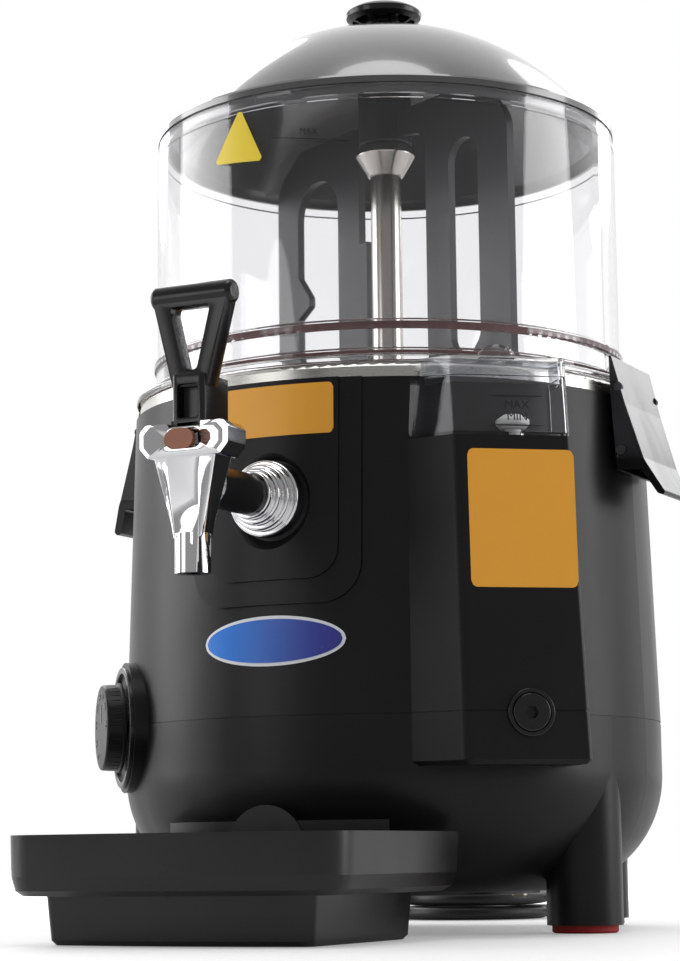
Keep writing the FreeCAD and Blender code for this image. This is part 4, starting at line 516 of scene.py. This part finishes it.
class Workbench:
    """Turns a bmesh into a finished piece and makes the shapes that several pieces share."""

    @staticmethod
    def piece(name: str, bm: bmesh.types.BMesh, body: Body, finish: Finish, smooth: float = 35.0,
              replaces: Iterable[str] = ()) -> bpy.types.Object:
        """Finish a piece from millimetres.

        Args:
            name: The piece's name.
            bm: Its shape in millimetres; it is freed.
            body: The body it rides on.
            finish: Its finish.
            smooth: Angle in degrees under which edges are shaded smooth.
            replaces: Frame nodes that it stands for.

        Returns:
            The new object.
        """
        bmesh.ops.remove_doubles(bm, verts=bm.verts, dist=0.0005)
        bmesh.ops.recalc_face_normals(bm, faces=bm.faces)
        bmesh.ops.scale(bm, verts=bm.verts, vec=(MM, MM, MM))
        mesh = bpy.data.meshes.new(name)
        bm.to_mesh(mesh)
        bm.free()
        mesh.shade_smooth()
        mesh.set_sharp_from_angle(angle=math.radians(smooth))
        mesh.materials.append(finish.material())
        made = bpy.data.objects.new(name, mesh)
        bpy.context.scene.collection.objects.link(made)
        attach(made, body.value)
        for node in replaces:
            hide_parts(node)
        LOG.info("%s: %d faces", name, len(mesh.polygons))
        return made

    @staticmethod
    def lathe(profile: Sequence[Point], steps: int, closed: bool = True) -> bmesh.types.BMesh:
        """Spin a profile about Z.

        Args:
            profile: Points as (radius, height).
            steps: Number of facets round the turn.
            closed: Join the last point to the first.

        Returns:
            The turned shape.
        """
        bm = bmesh.new()
        verts = [bm.verts.new((r, 0.0, z)) for r, z in profile]
        for first, second in zip(verts, verts[1:]):
            bm.edges.new((first, second))
        if closed:
            bm.edges.new((verts[-1], verts[0]))
        bmesh.ops.spin(bm, geom=list(bm.verts) + list(bm.edges), cent=(0, 0, 0), axis=(0, 0, 1),
                       angle=2 * math.pi, steps=steps, use_merge=True)
        bmesh.ops.remove_doubles(bm, verts=bm.verts, dist=0.001)
        return bm

    @staticmethod
    def place(bm: bmesh.types.BMesh, origin: Vector, out: Vector) -> None:
        """Turn a shape's +Z to a direction and move it to a point.

        Args:
            bm: The shape.
            origin: Where its own origin goes.
            out: Where its +Z goes.
        """
        turn = Vector((0.0, 0.0, 1.0)).rotation_difference(out).to_matrix().to_4x4()
        bmesh.ops.transform(bm, matrix=Matrix.Translation(origin) @ turn, verts=bm.verts)

    @staticmethod
    def sheet(width: float, outline: Callable[[float], float], columns: int, rows: int, thickness: float,
              onto: Onto) -> bmesh.types.BMesh:
        """Thin plate whose edge follows an outline, laid onto a surface.

        Args:
            width: Half width.
            outline: Half height at each share of the half width, from -1 to 1.
            columns: Facets across.
            rows: Facets up.
            thickness: Thickness.
            onto: Maps (across, up, out) to a point of the machine.

        Returns:
            The plate.
        """
        bm = bmesh.new()
        bmesh.ops.create_grid(bm, x_segments=columns, y_segments=rows, size=1.0)
        for vert in bm.verts:
            vert.co.y *= outline(vert.co.x)
            vert.co.x *= width
        bmesh.ops.remove_doubles(bm, verts=bm.verts, dist=0.001)
        walls = bmesh.ops.extrude_face_region(bm, geom=list(bm.faces))
        raised = [item for item in walls["geom"] if isinstance(item, bmesh.types.BMVert)]
        bmesh.ops.translate(bm, verts=raised, vec=(0.0, 0.0, thickness))
        for vert in bm.verts:
            vert.co = onto(vert.co.x, vert.co.y, vert.co.z)
        return bm

    @staticmethod
    def words(text: str, size: float, depth: float, onto: Onto) -> bmesh.types.BMesh:
        """Plain lettering as a thin solid, centred and laid onto a surface.

        Args:
            text: The letters or figures.
            size: Height of a line.
            depth: Thickness.
            onto: Maps (across, up, out) to a point of the machine.

        Returns:
            The lettering.
        """
        curve = bpy.data.curves.new("lettering", "FONT")
        curve.body = text
        curve.size = size
        curve.extrude = depth / 2
        curve.align_x = "CENTER"
        curve.align_y = "CENTER"
        curve.resolution_u = 3
        carrier = bpy.data.objects.new("lettering", curve)
        bpy.context.scene.collection.objects.link(carrier)
        mesh = bpy.data.meshes.new_from_object(carrier)
        bm = bmesh.new()
        bm.from_mesh(mesh)
        bpy.data.objects.remove(carrier)
        bpy.data.curves.remove(curve)
        bpy.data.meshes.remove(mesh)
        for vert in bm.verts:
            vert.co = onto(vert.co.x, vert.co.y, vert.co.z + depth / 2)
        return bm

    @staticmethod
    def softened(node: str, name: str, body: Body, finish: Finish, width: float,
                 angle: float = 32.0) -> bpy.types.Object:
        """Copy of a frame node with its sharp edges rounded, in place of the node.

        Args:
            node: The frame node.
            name: The new piece's name.
            body: The body it rides on.
            finish: Its finish.
            width: Width of the rounding in millimetres.
            angle: Edges sharper than this many degrees are rounded.

        Returns:
            The new object.
        """
        bm = bmesh.new()
        bm.from_mesh(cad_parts[node].data)
        bmesh.ops.scale(bm, verts=bm.verts, vec=(1 / MM, 1 / MM, 1 / MM))
        bmesh.ops.remove_doubles(bm, verts=bm.verts, dist=0.002)
        bmesh.ops.dissolve_limit(bm, angle_limit=math.radians(0.6), verts=bm.verts, edges=bm.edges)
        limit = math.radians(angle)
        edges = [e for e in bm.edges if e.is_manifold and e.calc_face_angle(0.0) > limit]
        bmesh.ops.bevel(bm, geom=edges, offset=width, offset_type="OFFSET", segments=2, profile=0.5,
                        affect="EDGES", clamp_overlap=True, material=-1)
        bmesh.ops.triangulate(bm, faces=[f for f in bm.faces if len(f.verts) > 4])
        return Workbench.piece(name, bm, body, finish, 40.0, [node])


# The studio


@dataclass(frozen=True)
class Lamp:
    """Soft round lamp, placed in metres round the machine and aimed at it."""

    name: str
    azimuth: float
    height: float
    distance: float
    size: float
    power: float

    def hang(self, target: Vector) -> None:
        """Make the lamp, aimed at a point."""
        data = bpy.data.lights.new(self.name, "AREA")
        data.shape = "DISK"
        data.size = self.size
        data.energy = self.power
        made = bpy.data.objects.new(self.name, data)
        place = polar(self.azimuth, self.distance) + Vector((0.0, 0.0, self.height))
        aim = (target - place).to_track_quat("-Z", "Y")
        made.matrix_world = Matrix.Translation(place) @ aim.to_matrix().to_4x4()
        bpy.context.scene.collection.objects.link(made)


@dataclass
class Studio:
    """Camera, lamps, floor and surroundings of the picture, in metres."""

    position: tuple[float, float, float] = (0.52642, -1.12890, 0.036826)
    azimuth: float = 25.0
    pitch: float = 8.3977
    yaw: float = -1.14346
    roll: float = -0.63467
    lens: float = 94.70
    sensor: float = 36.0
    far: float = 50.0
    ambient: float = 0.40
    front_level: float = 0.30
    backdrop_turn: Point = (-0.3, 0.5)
    floor_size: float = 6.0
    floor_drop: float = 0.0002
    floor_tone: float = 0.80
    glow_near: float = 0.26
    glow_reach: Point = (0.25, 1.1)
    aim_z: float = 0.22
    lamps: Sequence[Lamp] = (
        Lamp("key_left", -75.0, 0.6, 1.5, 1.1, 9.0),
        Lamp("card_front", -27.0, 0.36, 1.2, 0.45, 0.9),
        Lamp("fill_right", 110.0, 0.5, 1.6, 1.0, 9.0),
        Lamp("top", 25.0, 1.8, 0.3, 1.0, 7.0),
        Lamp("back_left", -125.0, 1.3, 1.6, 1.2, 9.0),
        Lamp("back_right", 165.0, 1.3, 1.6, 1.2, 8.0),
    )

    def build(self) -> None:
        """Make everything of the studio."""
        self._camera()
        self._world()
        self._floor()
        for lamp in self.lamps:
            lamp.hang(Vector((0.0, 0.0, self.aim_z)))
        bpy.context.scene.view_settings.view_transform = "Standard"

    def _axes(self) -> tuple[Vector, Vector, Vector]:
        """Right, up and forward of the camera.

        Returns:
            The three unit vectors in the frame's axes.
        """
        yaw, pitch, roll = (math.radians(a) for a in (self.yaw, self.pitch, self.roll))
        reach = math.cos(pitch)
        forward = Vector((math.sin(yaw) * reach, math.cos(yaw) * reach, math.sin(pitch)))
        level = Vector((math.cos(yaw), -math.sin(yaw), 0.0))
        upright = level.cross(forward)
        right = level * math.cos(roll) + upright * math.sin(roll)
        up = upright * math.cos(roll) - level * math.sin(roll)
        turn = Matrix.Rotation(math.radians(self.azimuth), 3, "Z")
        return turn @ right, turn @ up, turn @ forward

    def _camera(self) -> None:
        """Set the camera at the photograph's angle."""
        data = bpy.data.cameras.new("camera")
        data.lens = self.lens
        data.sensor_width = self.sensor
        data.clip_end = self.far
        made = bpy.data.objects.new("camera", data)
        right, up, forward = self._axes()
        basis = Matrix((right, up, -forward)).transposed().to_4x4()
        made.matrix_world = Matrix.Translation(self.position) @ basis
        bpy.context.scene.collection.objects.link(made)
        bpy.context.scene.camera = made

    def _world(self) -> None:
        """Make the surroundings.

        The eye, gloss and glass see a white backdrop that darkens behind the camera. Matt surfaces get
        plain grey light.
        """
        world = bpy.data.worlds.new("studio")
        world.use_nodes = True
        tree = world.node_tree
        background = tree.nodes["Background"]
        rays = add_node(tree, "LightPath")
        seen = rays.outputs["Is Camera Ray"]
        for name in ("Is Glossy Ray", "Is Transmission Ray"):
            largest = add_node(tree, "Math")
            largest.operation = "MAXIMUM"
            tree.links.new(seen, largest.inputs[0])
            tree.links.new(rays.outputs[name], largest.inputs[1])
            seen = largest.outputs[0]
        way = add_node(tree, "TexCoord")
        along = add_node(tree, "VectorMath")
        along.operation = "DOT_PRODUCT"
        along.inputs[1].default_value = tuple(-polar(self.azimuth, 1.0))
        tree.links.new(way.outputs["Generated"], along.inputs[0])
        bright = add_node(tree, "MapRange", From_Min=self.backdrop_turn[0],
                          From_Max=self.backdrop_turn[1], To_Min=self.front_level, To_Max=1.0,
                          Value=along.outputs["Value"])
        bright.interpolation_type = "SMOOTHSTEP"
        level = add_node(tree, "MapRange", To_Min=self.ambient, To_Max=bright.outputs["Result"],
                         Value=seen)
        background.inputs["Color"].default_value = (1.0, 1.0, 1.0, 1.0)
        tree.links.new(level.outputs["Result"], background.inputs["Strength"])
        bpy.context.scene.world = world

    def _floor(self) -> None:
        """Lay a pale floor that keeps the machine's shadow."""
        bm = bmesh.new()
        bmesh.ops.create_circle(bm, cap_ends=True, segments=96, radius=self.floor_size)
        mesh = bpy.data.meshes.new("floor")
        bm.to_mesh(mesh)
        bm.free()
        floor = bpy.data.objects.new("floor", mesh)
        floor.location.z = -self.floor_drop
        bpy.context.scene.collection.objects.link(floor)
        material = bpy.data.materials.new("pale_floor")
        material.use_nodes = True
        tree = material.node_tree
        shader = tree.nodes["Principled BSDF"]
        shader.inputs["Base Color"].default_value = (self.floor_tone,) * 3 + (1.0,)
        shader.inputs["Roughness"].default_value = 0.55
        shader.inputs["Specular IOR Level"].default_value = 0.25
        glow = add_node(tree, "Emission", Color=(1.0, 1.0, 1.0, 1.0))
        rays = add_node(tree, "LightPath")
        place = add_node(tree, "TexCoord")
        reach = add_node(tree, "VectorMath")
        reach.operation = "LENGTH"
        tree.links.new(place.outputs["Object"], reach.inputs[0])
        fade = add_node(tree, "MapRange", From_Min=self.glow_reach[0], From_Max=self.glow_reach[1],
                        To_Min=self.glow_near, To_Max=1.0, Value=reach.outputs["Value"])
        fade.interpolation_type = "SMOOTHSTEP"
        strength = add_node(tree, "Math")
        strength.operation = "MULTIPLY"
        tree.links.new(fade.outputs["Result"], strength.inputs[1])
        tree.links.new(rays.outputs["Is Camera Ray"], strength.inputs[0])
        tree.links.new(strength.outputs[0], glow.inputs["Strength"])
        add = add_node(tree, "AddShader")
        tree.links.new(shader.outputs[0], add.inputs[0])
        tree.links.new(glow.outputs[0], add.inputs[1])
        tree.links.new(add.outputs[0], tree.nodes["Material Output"].inputs["Surface"])
        mesh.materials.append(material)


# Sub-assemblies


@dataclass
class Housing:
    """Black body with its plain plates and oval badge."""

    seam_z: float = 97.5
    seam_r: float = 130.3
    top_z: float = 249.5
    top_r: float = 125.8
    panel_rise: float = 3.0
    plate_t: float = 0.25
    notice_az: float = 13.9
    notice_z: Point = (223.9, 247.2)
    badge_half: Point = (36.0, 11.3)
    badge_z: float = 131.3
    badge_rim: float = 1.5

    def radius(self, z: float) -> float:
        """Radius of the upper skin at a height."""
        share = max(z - self.seam_z, 0.0) / (self.top_z - self.seam_z)
        return self.seam_r + (self.top_r - self.seam_r) * share

    def onto_skin(self, z: float, rise: float) -> Onto:
        """Mapping from a flat plate to the round skin in front.

        Args:
            z: Height of the plate's middle.
            rise: Distance of the surface from the housing's skin.

        Returns:
            The mapping.
        """
        def bend(across: float, up: float, out: float) -> Vector:
            """Point for a place on the flat plate."""
            radius = self.radius(z + up) + rise + out
            return polar(math.degrees(across / (self.radius(z) + rise)), radius, z + up)
        return bend

    def build(self) -> None:
        """Make the plates."""
        self._notice()
        self._badge()

    def _notice(self) -> None:
        """Orange plate at the top of the escutcheon, with rounded corners."""
        low, high = self.notice_z
        half = (self.radius(high) + self.panel_rise) * math.radians(self.notice_az)
        outline = rounded(half, (high - low) / 2, 2.2)
        onto = self.onto_skin((low + high) / 2, self.panel_rise)
        Workbench.piece("notice_plate", Workbench.sheet(half, outline, 60, 2, self.plate_t, onto),
                        Body.MACHINE, Finishes.ORANGE)

    def _badge(self) -> None:
        """Oval badge: a blue field on a white rim."""
        half, tall = self.badge_half
        onto = self.onto_skin(self.badge_z, 0.0)
        rim = Workbench.sheet(half, oval(tall), 96, 4, self.plate_t, onto)
        Workbench.piece("badge_rim", rim, Body.MACHINE, Finishes.WHITE_RIM)
        onto = self.onto_skin(self.badge_z, self.plate_t)
        inner = self.badge_rim
        blue = Workbench.sheet(half - inner, oval(tall - inner), 96, 4, self.plate_t, onto)
        Workbench.piece("badge_field", blue, Body.MACHINE, Finishes.BLUE)


def rounded(half: float, tall: float, corner: float) -> Callable[[float], float]:
    """Outline of a plate with rounded corners.

    Args:
        half: Half width.
        tall: Half height.
        corner: Corner radius.

    Returns:
        Half height at a share of the half width.
    """
    def edge(share: float) -> float:
        """Half height at a share of the half width."""
        over = abs(share) * half - (half - corner)
        if over <= 0.0:
            return tall
        return tall - corner + math.sqrt(max(corner * corner - over * over, 0.0))
    return edge


def oval(tall: float) -> Callable[[float], float]:
    """Outline of an oval with a half height."""
    return lambda share: tall * math.sqrt(max(1.0 - share * share, 0.0))


@dataclass
class Column:
    """Plate and level marks on the leaning water column."""

    azimuth: float = 37.5
    face: float = 149.6
    lean: float = 0.056
    seam_z: float = 97.5
    plate: tuple[float, float, float, float] = (3.4, 52.3, 151.9, 214.0)
    plate_t: float = 0.25
    plate_corner: float = 3.0
    mark_along: float = 27.0
    mark_rise: float = 0.02
    mark_t: float = 0.12
    line_half: Point = (12.1, 0.35)
    line_corner: float = 0.2
    line_z: Sequence[tuple[str, float]] = (("max", 238.3), ("min", 224.9))
    word_z: Sequence[tuple[str, float]] = (("MAX", 234.2), ("MIN", 228.8))
    word_size: float = 5.4

    def onto_face(self, along: float, z: float, rise: float = 0.0) -> Onto:
        """Mapping from a flat plate to the column's face.

        Args:
            along: Distance along the face of the plate's middle.
            z: Its height.
            rise: Distance from the face.

        Returns:
            The mapping.
        """
        def lay(across: float, up: float, out: float) -> Vector:
            """Point for a place on the flat plate."""
            height = z + up
            distance = self.face - (height - self.seam_z) * self.lean + rise + out
            return polar(self.azimuth, distance, height) + sideways(self.azimuth) * (along + across)
        return lay

    def build(self) -> None:
        """Make the orange plate and the level marks."""
        left, right, low, high = self.plate
        half, tall = (right - left) / 2, (high - low) / 2
        onto = self.onto_face((left + right) / 2, (low + high) / 2)
        plate = Workbench.sheet(half, rounded(half, tall, self.plate_corner), 60, 2, self.plate_t, onto)
        Workbench.piece("column_plate", plate, Body.MACHINE, Finishes.ORANGE)
        half, tall = self.line_half
        outline = rounded(half, tall, self.line_corner)
        for name, z in self.line_z:
            onto = self.onto_face(self.mark_along, z, self.mark_rise)
            line = Workbench.sheet(half, outline, 4, 1, self.mark_t, onto)
            Workbench.piece(f"{name}_line", line, Body.MACHINE, Finishes.MARK)
        for name, z in self.word_z:
            onto = self.onto_face(self.mark_along, z, self.mark_rise)
            word = Workbench.words(name, self.word_size, self.mark_t, onto)
            Workbench.piece(f"{name.lower()}_word", word, Body.MACHINE, Finishes.MARK)


@dataclass
class BowlMarks:
    """Plain sign place and level line on the clear bowl."""

    radius: float = 115.3
    film_t: float = 0.15
    corners: Sequence[Point] = ((-11.2, 385.0), (-19.6, 360.4), (-4.6, 357.6))
    corner_share: float = 0.07
    lift: float = 0.02
    line: tuple[Point, Point] = ((-2.2, 367.6), (16.9, 362.2))
    line_tall: float = 0.25
    line_corner: float = 0.2
    word: str = "MAX"
    word_size: float = 4.2
    word_spot: Point = (7.0, 368.4)

    def onto_wall(self, azimuth: float, z: float, turn: float) -> Onto:
        """Mapping to the bowl's wall, turned in its surface.

        Args:
            azimuth: Azimuth of the middle.
            z: Height of the middle.
            turn: Degrees anticlockwise in the surface.

        Returns:
            The mapping.
        """
        lean = math.radians(turn)

        def bend(across: float, up: float, out: float) -> Vector:
            """Point for a place on the flat plate."""
            u = across * math.cos(lean) - up * math.sin(lean)
            v = across * math.sin(lean) + up * math.cos(lean)
            return polar(azimuth + math.degrees(u / self.radius), self.radius + self.lift + out, z + v)
        return bend

    def build(self) -> None:
        """Make the sign place, the level line and its word."""
        self._sign()
        (left, low), (right, high) = self.line
        run = math.radians(right - left) * self.radius
        turn = math.degrees(math.atan2(high - low, run))
        onto = self.onto_wall((left + right) / 2, (low + high) / 2, turn)
        half = math.hypot(run, high - low) / 2
        outline = rounded(half, self.line_tall, self.line_corner)
        strip = Workbench.sheet(half, outline, 40, 1, self.film_t, onto)
        Workbench.piece("bowl_level_line", strip, Body.BOWL, Finishes.MARK)
        onto = self.onto_wall(*self.word_spot, turn)
        word = Workbench.words(self.word, self.word_size, self.film_t, onto)
        Workbench.piece("bowl_level_word", word, Body.BOWL, Finishes.MARK)

    def _sign(self) -> None:
        """Blank three-cornered film, left without any sign."""
        flat = [Vector((math.radians(a) * self.radius, z, 0.0)) for a, z in self.corners]
        bm = bmesh.new()
        ring = []
        for i, spot in enumerate(flat):
            for other in (flat[i - 1], flat[(i + 1) % 3]):
                ring.append(bm.verts.new(spot.lerp(other, self.corner_share)))
        face = bm.faces.new(ring)
        bmesh.ops.triangulate(bm, faces=[face])
        for _ in range(3):
            bmesh.ops.subdivide_edges(bm, edges=list(bm.edges), cuts=1, use_grid_fill=True)
        walls = bmesh.ops.extrude_face_region(bm, geom=list(bm.faces))
        raised = [item for item in walls["geom"] if isinstance(item, bmesh.types.BMVert)]
        bmesh.ops.translate(bm, verts=raised, vec=(0.0, 0.0, self.film_t))
        for vert in bm.verts:
            azimuth = math.degrees(vert.co.x / self.radius)
            vert.co = polar(azimuth, self.radius + self.lift + vert.co.z, vert.co.y)
        Workbench.piece("bowl_sign_film", bm, Body.BOWL, Finishes.YELLOW)


@dataclass
class Dial:
    """Figures and pointer on the temperature dial."""

    azimuth: float = -50.0
    z: float = 97.5
    face: float = 144.5
    figures: Sequence[str] = ("0", "30", "40", "50", "60", "70", "80", "90")
    ring: float = 15.2
    size: float = 4.2
    figure_t: float = 0.35
    figure_sink: float = 0.1
    scale_start: float = 210.0
    scale_sweep: float = 270.0
    pointer_half: Point = (0.7, 4.5)
    pointer_corner: float = 0.6
    pointer_t: float = 0.3
    pointer_sink: float = 0.05
    pointer_reach: float = 6.5

    def onto_face(self, angle: float, radius: float, rise: float = 0.0) -> Onto:
        """Mapping to the dial's face, turned so that figures stand outwards.

        Args:
            angle: Degrees clockwise from the top, seen from in front.
            radius: Distance from the dial's middle.
            rise: Distance from the face.

        Returns:
            The mapping.
        """
        turn = math.radians(angle)

        def lay(across: float, up: float, out: float) -> Vector:
            """Point for a place on the flat plate."""
            x = across * math.cos(turn) + (up + radius) * math.sin(turn)
            y = -across * math.sin(turn) + (up + radius) * math.cos(turn)
            return polar(self.azimuth, self.face + rise + out, self.z + y) + sideways(self.azimuth) * x
        return lay

    def build(self) -> None:
        """Make the figures and the pointer."""
        for i, figure in enumerate(self.figures):
            angle = self.scale_start + self.scale_sweep / len(self.figures) * i
            onto = self.onto_face(angle, self.ring, -self.figure_sink)
            word = Workbench.words(figure, self.size, self.figure_t, onto)
            Workbench.piece(f"dial_figure_{i}", word, Body.DIAL, Finishes.PALE_MARK)
        half, tall = self.pointer_half
        outline = rounded(half, tall, self.pointer_corner)
        onto = self.onto_face(0.0, self.pointer_reach, -self.pointer_sink)
        pointer = Workbench.sheet(half, outline, 4, 2, self.pointer_t, onto)
        Workbench.piece("dial_pointer", pointer, Body.DIAL, Finishes.PALE_MARK)


@dataclass
class Lead:
    """Mains lead: one smooth curve from the gland to the plug, with its coil behind the machine."""

    diameter: float = 7.0
    start_y: float = 142.3
    exit_z: float = 78.0
    coil_x: float = -44.0
    coil_y: float = 200.0
    outer: float = 44.5
    pitch: float = 7.6
    turns: float = 6.25
    first: float = 60.0
    reversal: float = 3.25
    plug_r: float = 18.5
    tail: float = 21.0
    per_turn: int = 16
    length: float = 1.423
    exit_run: float = 18.8
    coil_run: float = 18.4
    relief_r: Point = (5.6, 5.4)
    relief_ribs: int = 7
    relief_pitch: float = 3.0
    relief_l: float = 22.0
    plug_l: float = 36.0
    pin_offset: float = 9.5
    pin: Sequence[Point] = ((0.0, -1.0), (2.4, -1.0), (2.4, 17.4), (1.9, 18.6), (0.9, 19.0), (0.0, 19.0))
    route: Sequence[tuple[float, float, float]] = (
        (5.3, 178.6, 72.9),
        (15.3, 192.3, 62.2),
        (21.6, 201.4, 44.5),
        (19.4, 210.3, 25.6),
        (8.6, 220.3, 10.8),
    )

    def coil(self, turn: float) -> Vector:
        """Centre line of the coil.

        Args:
            turn: Turns from the coil's start.

        Returns:
            The point in millimetres.
        """
        angle = 2 * math.pi * turn + math.radians(self.first)
        low = self.diameter / 2 + 0.1
        high = low + self.diameter + 0.7
        radius = self.outer - self.pitch * (self.reversal - abs(turn - self.reversal))
        z = low + (high - low) * self._eased(turn - self.reversal + 0.25)
        z += (self.plug_r + 0.1 - high) * self._eased(turn - self.turns + 0.5)
        return Vector((self.coil_x + radius * math.cos(angle), self.coil_y + radius * math.sin(angle), z))

    @staticmethod
    def _eased(turns: float) -> float:
        """Share of a climb that takes half a turn and starts and ends level."""
        share = min(max(turns / 0.5, 0.0), 1.0)
        return share * share * (3 - 2 * share)

    def heading(self, turn: float) -> Vector:
        """Unit tangent of the coil's centre line."""
        return (self.coil(turn + 1e-4) - self.coil(turn - 1e-4)).normalized()

    def points(self) -> list[Vector]:
        """Control points of the whole lead.

        Returns:
            Points in millimetres from the gland to the plug.
        """
        start = self.coil(0.0)
        path = [Vector((0.0, self.start_y + run, self.exit_z)) for run in (0.0, self.exit_run)]
        path += [Vector(point) for point in self.route]
        path.append(start - self.heading(0.0) * self.coil_run)
        steps = round(self.turns * self.per_turn)
        swell = 1 / math.cos(math.pi / self.per_turn) ** 0.5
        for i in range(steps + 1):
            spot = self.coil(i / self.per_turn)
            middle = Vector((self.coil_x, self.coil_y, spot.z))
            path.append(middle + (spot - middle) * (swell if 0 < i < steps else 1.0))
        path.append(path[-1] + self._tail() * self.tail)
        return path

    def _tail(self) -> Vector:
        """Level direction in which the lead enters the plug."""
        way = self.heading(self.turns)
        return Vector((way.x, way.y, 0.0)).normalized()

    def build(self) -> None:
        """Make the lead, its strain relief and its plug."""
        plug, pins = self._plug()
        curve = bpy.data.curves.new("mains_lead", "CURVE")
        curve.dimensions = "3D"
        curve.bevel_depth = self.diameter / 2 * MM
        curve.bevel_resolution = 5
        curve.resolution_u = 6
        curve.use_fill_caps = True
        spline = curve.splines.new("NURBS")
        path = self.points()
        spline.points.add(len(path) - 1)
        for control, point in zip(spline.points, path):
            control.co = (*(point * MM), 1.0)
        spline.order_u = 3
        spline.use_endpoint_u = True
        lead = bpy.data.objects.new("mains_lead", curve)
        bpy.context.scene.collection.objects.link(lead)
        curve.materials.append(Finishes.CORD.material())
        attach(lead, Body.MACHINE.value)
        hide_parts("cord_run")
        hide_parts("cord_coil")
        LOG.info("mains_lead: %d control points", len(path))
        self._relief()

    def _relief(self) -> None:
        """Ribbed, tapered strain relief beyond the gland."""
        bore = self.diameter / 2 + 0.05
        foot, thick = self.relief_r
        profile: list[Point] = [(bore, -1.0), (foot, -1.0)]
        for i in range(self.relief_ribs):
            z = 0.5 + i * self.relief_pitch
            radius = thick - 1.5 * i / self.relief_ribs
            profile += [(radius, z), (radius, z + 1.7), (radius - 0.55, z + 2.0), (radius - 0.6, z + 2.8)]
        profile += [(bore + 0.25, self.relief_l), (bore, self.relief_l)]
        bm = Workbench.lathe(profile, 40)
        Workbench.place(bm, Vector((0.0, self.start_y - 1.0, self.exit_z)), Vector((0.0, 1.0, -0.04)))
        Workbench.piece("strain_relief", bm, Body.MACHINE, Finishes.CORD)

    def _plug(self) -> tuple[bpy.types.Object, bpy.types.Object]:
        """Round moulded plug and its two pins.

        Returns:
            The plug's body and its pins.
        """
        way = self._tail()
        start = self.coil(self.turns) + way * self.tail
        side = Vector((0.0, 0.0, 1.0)).cross(way)
        profile = [
            (0.0, 0.0), (5.2, 0.0), (5.6, 1.0), (6.6, 10.0), (8.6, 14.2), (12.5, 16.2), (16.6, 20.0),
            (18.1, 24.0), (self.plug_r, 27.0), (self.plug_r, 35.2), (17.9, self.plug_l), (0.0, self.plug_l),
        ]
        body = Workbench.lathe(profile, 64, closed=False)
        Workbench.place(body, start, way)
        plug = Workbench.piece("plug_body", body, Body.MACHINE, Finishes.CORD, 30.0, ["plug"])
        pins = bmesh.new()
        for offset in (-self.pin_offset, self.pin_offset):
            pin = Workbench.lathe(self.pin, 24, closed=False)
            Workbench.place(pin, start + way * self.plug_l + side * offset, way)
            mesh = bpy.data.meshes.new("pin")
            pin.to_mesh(mesh)
            pin.free()
            pins.from_mesh(mesh)
            bpy.data.meshes.remove(mesh)
        return plug, Workbench.piece("plug_pins", pins, Body.MACHINE, Finishes.ZINC)


@dataclass
class BareNodes:
    """Frame nodes whose own shape is shown, each with its finish."""

    groups: Sequence[tuple[Finish, str]] = NODES_OF_FINISH

    def build(self) -> None:
        """Give each node its material."""
        for finish, names in self.groups:
            for name in names.split():
                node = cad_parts[name]
                node.data.materials.clear()
                node.data.materials.append(finish.material())
            LOG.info("%s: %s", finish.name, names)


@dataclass
class Softened:
    """Moulded and cast pieces whose edges are rounded for the light to catch."""

    pieces: Sequence[tuple[str, Body, Finish, float]] = (
        ("tap_body", Body.MACHINE, Finishes.CHROME, 0.45),
        ("tap_lever", Body.LEVER, Finishes.GLOSS, 0.7),
    )

    def build(self) -> None:
        """Make each softened copy."""
        for node, body, finish, width in self.pieces:
            Workbench.softened(node, f"{node}_soft", body, finish, width)


def main() -> None:
    """Build the studio, dress the frame and add the pieces of the picture."""
    logging.basicConfig(level=logging.INFO, format="%(name)s: %(message)s")
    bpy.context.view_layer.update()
    Studio().build()
    Lead().build()
    BareNodes().build()
    Softened().build()
    Housing().build()
    Column().build()
    Dial().build()
    BowlMarks().build()


if __name__ == "__main__":
    main()
